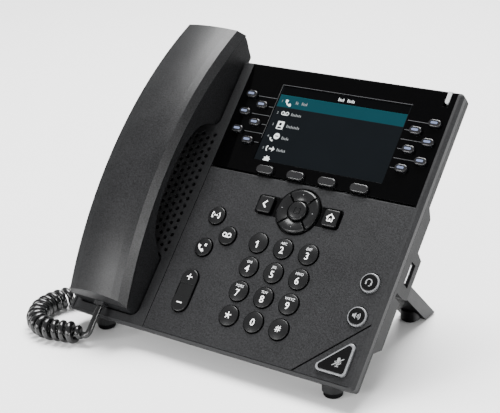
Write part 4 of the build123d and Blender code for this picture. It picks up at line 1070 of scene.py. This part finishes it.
x = TITLE_X
for run in TITLE_RUNS:
    greeked(x, TITLE_Y, run, TITLE_SIZE, ICON)
    x += run + TITLE_SPACE
for row, runs in enumerate(WORD_RUNS):
    row_middle = ROW_TOP - (row + 0.5) * ROW_HEIGHT
    words.text(str(row + 1), FIGURE_X, row_middle, 2.5, TEXT, weight=0.0)
    x = WORD_X
    for run in runs:
        greeked(x, row_middle - WORD_DROP, run, WORD_SIZE, TEXT)
        x += run + WORD_SPACE
# the rows' icons: handset, two reels, address card, disc and handset, bow and arrow, and the top
# of a gear
cx, cy = ICON_X, ROW_TOP - ROW_HEIGHT / 2
words.fill([handset_glyph(cx + 0.3, cy + 0.3, 6.2)], ICON)
cy -= ROW_HEIGHT
for side in (-1, 1):
    reel_x, reel_y = cx + side * 1.6, cy + 0.1
    words.fill([circle(reel_x, reel_y, 1.35), circle(reel_x, reel_y, 0.85)[::-1]], ICON)
words.fill([box_loop(cx, cy - 1.0, 3.2, 0.5)], ICON)
cy -= ROW_HEIGHT
shoulders = [(cx + 1.7, cy - 2.4), (cx + 1.0, cy - 1.0), (cx - 1.4, cy - 1.0), (cx - 2.1, cy - 2.4)]
head = circle(cx - 0.2, cy + 0.8, 1.15)[::-1]
words.fill([box_loop(cx, cy, 5.0, 5.8, 0.4), head, shoulders], ICON)
cy -= ROW_HEIGHT
words.fill([circle(cx + 0.7, cy + 0.7, 2.2), box_loop(cx + 0.7, cy + 0.7, 2.6, 0.7)[::-1]], ICON)
words.fill([handset_glyph(cx - 1.9, cy - 1.5, 3.4)], ICON)
cy -= ROW_HEIGHT
words.fill([ribbon(circle(cx - 0.9, cy, 2.4, 8, 130, 100), 0.7)], ICON)
words.fill([box_loop(cx + 0.2, cy, 2.6, 0.8)], ICON)
words.fill([[(cx + 3.0, cy), (cx + 1.2, cy + 1.9), (cx + 1.2, cy - 1.9)]], ICON)
cy -= ROW_HEIGHT
GEAR_STEPS, TOOTH_R, ROOT_R, SCREEN_BOTTOM = 32, 2.6, 1.9, -27.2
gear = []
for i in range(GEAR_STEPS):
    reach = TOOTH_R if i % 4 < 2 else ROOT_R
    angle = 2 * math.pi * (i + 0.5) / GEAR_STEPS
    height = cy + 0.9 + reach * math.sin(angle)
    gear.append((cx + reach * math.cos(angle), max(height, SCREEN_BOTTOM)))
words.fill([gear], ICON)
words.make("screen_marks", "root", "screen", [SCREEN_TEXT, SCREEN_ICON])

# painted highlight: thin grey lines along the top and left edges of the display window, as light
# catching the window's edge
edge_highlight = Relief(level(0.0), proud=0.02)
edge_highlight.fill([box_loop(0.0, 28.1, 97.4, 0.22)])
edge_highlight.fill([box_loop(-48.6, 8.0, 0.18, 40.0)])
edge_highlight.make("window_edge_highlight", "root", "gloss_panel", [PANEL_PRINT])

# ------------------------------------------------------------------ floor and light

SPREAD = 6.0
FLOOR_GREY, FLOOR_ROUGHNESS, WORLD_STRENGTH = 0.86, 0.6, 0.65
floor_mesh = bpy.data.meshes.new("floor")
corners = [(-SPREAD, -SPREAD, 0), (SPREAD, -SPREAD, 0), (SPREAD, SPREAD, 0), (-SPREAD, SPREAD, 0)]
floor_mesh.from_pydata(corners, [], [(0, 1, 2, 3)])
floor = bpy.data.objects.new("floor", floor_mesh)
bpy.context.scene.collection.objects.link(floor)
floor_look, _, floor_shader = new_material("floor_pale")
floor_shader.inputs["Base Color"].default_value = (FLOOR_GREY, FLOOR_GREY, FLOOR_GREY, 1)
floor_shader.inputs["Roughness"].default_value = FLOOR_ROUGHNESS
floor_mesh.materials.append(floor_look)
floor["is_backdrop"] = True

world = bpy.data.worlds.new("studio")
bpy.context.scene.world = world
world.use_nodes = True
backdrop = world.node_tree.nodes["Background"]
backdrop.inputs["Color"].default_value = (1, 1, 1, 1)
backdrop.inputs["Strength"].default_value = WORLD_STRENGTH


def softbox(name, place, target, width, height, power):
    """A rectangular light at a place, turned to its target; sizes in metres, power in watts."""
    lamp = bpy.data.lights.new(name, "AREA")
    lamp.shape = "RECTANGLE"
    lamp.size = width
    lamp.size_y = height
    lamp.energy = power
    holder = bpy.data.objects.new(name, lamp)
    bpy.context.scene.collection.objects.link(holder)
    aim = Vector(target) - Vector(place)
    turn = aim.to_track_quat("-Z", "Y").to_matrix().to_4x4()
    holder.matrix_world = Matrix.Translation(place) @ turn


HANDSET_FOOT = (-0.08, 0.0, 0.07)
softbox("overhead", (-0.26, 0.56, 1.75), (0.0, 0.0, 0.0), 1.3, 1.1, 128)
softbox("right_low", (0.95, 0.10, 0.085), (0.1, 0.0, 0.06), 0.5, 0.12, 9)
softbox("front_left", (-0.48, -1.02, 0.36), HANDSET_FOOT, 0.35, 0.35, 10)
softbox("front_right", (0.28, -1.10, 0.42), HANDSET_FOOT, 0.3, 0.3, 5)

# ------------------------------------------------------------------ sizes

low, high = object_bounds()
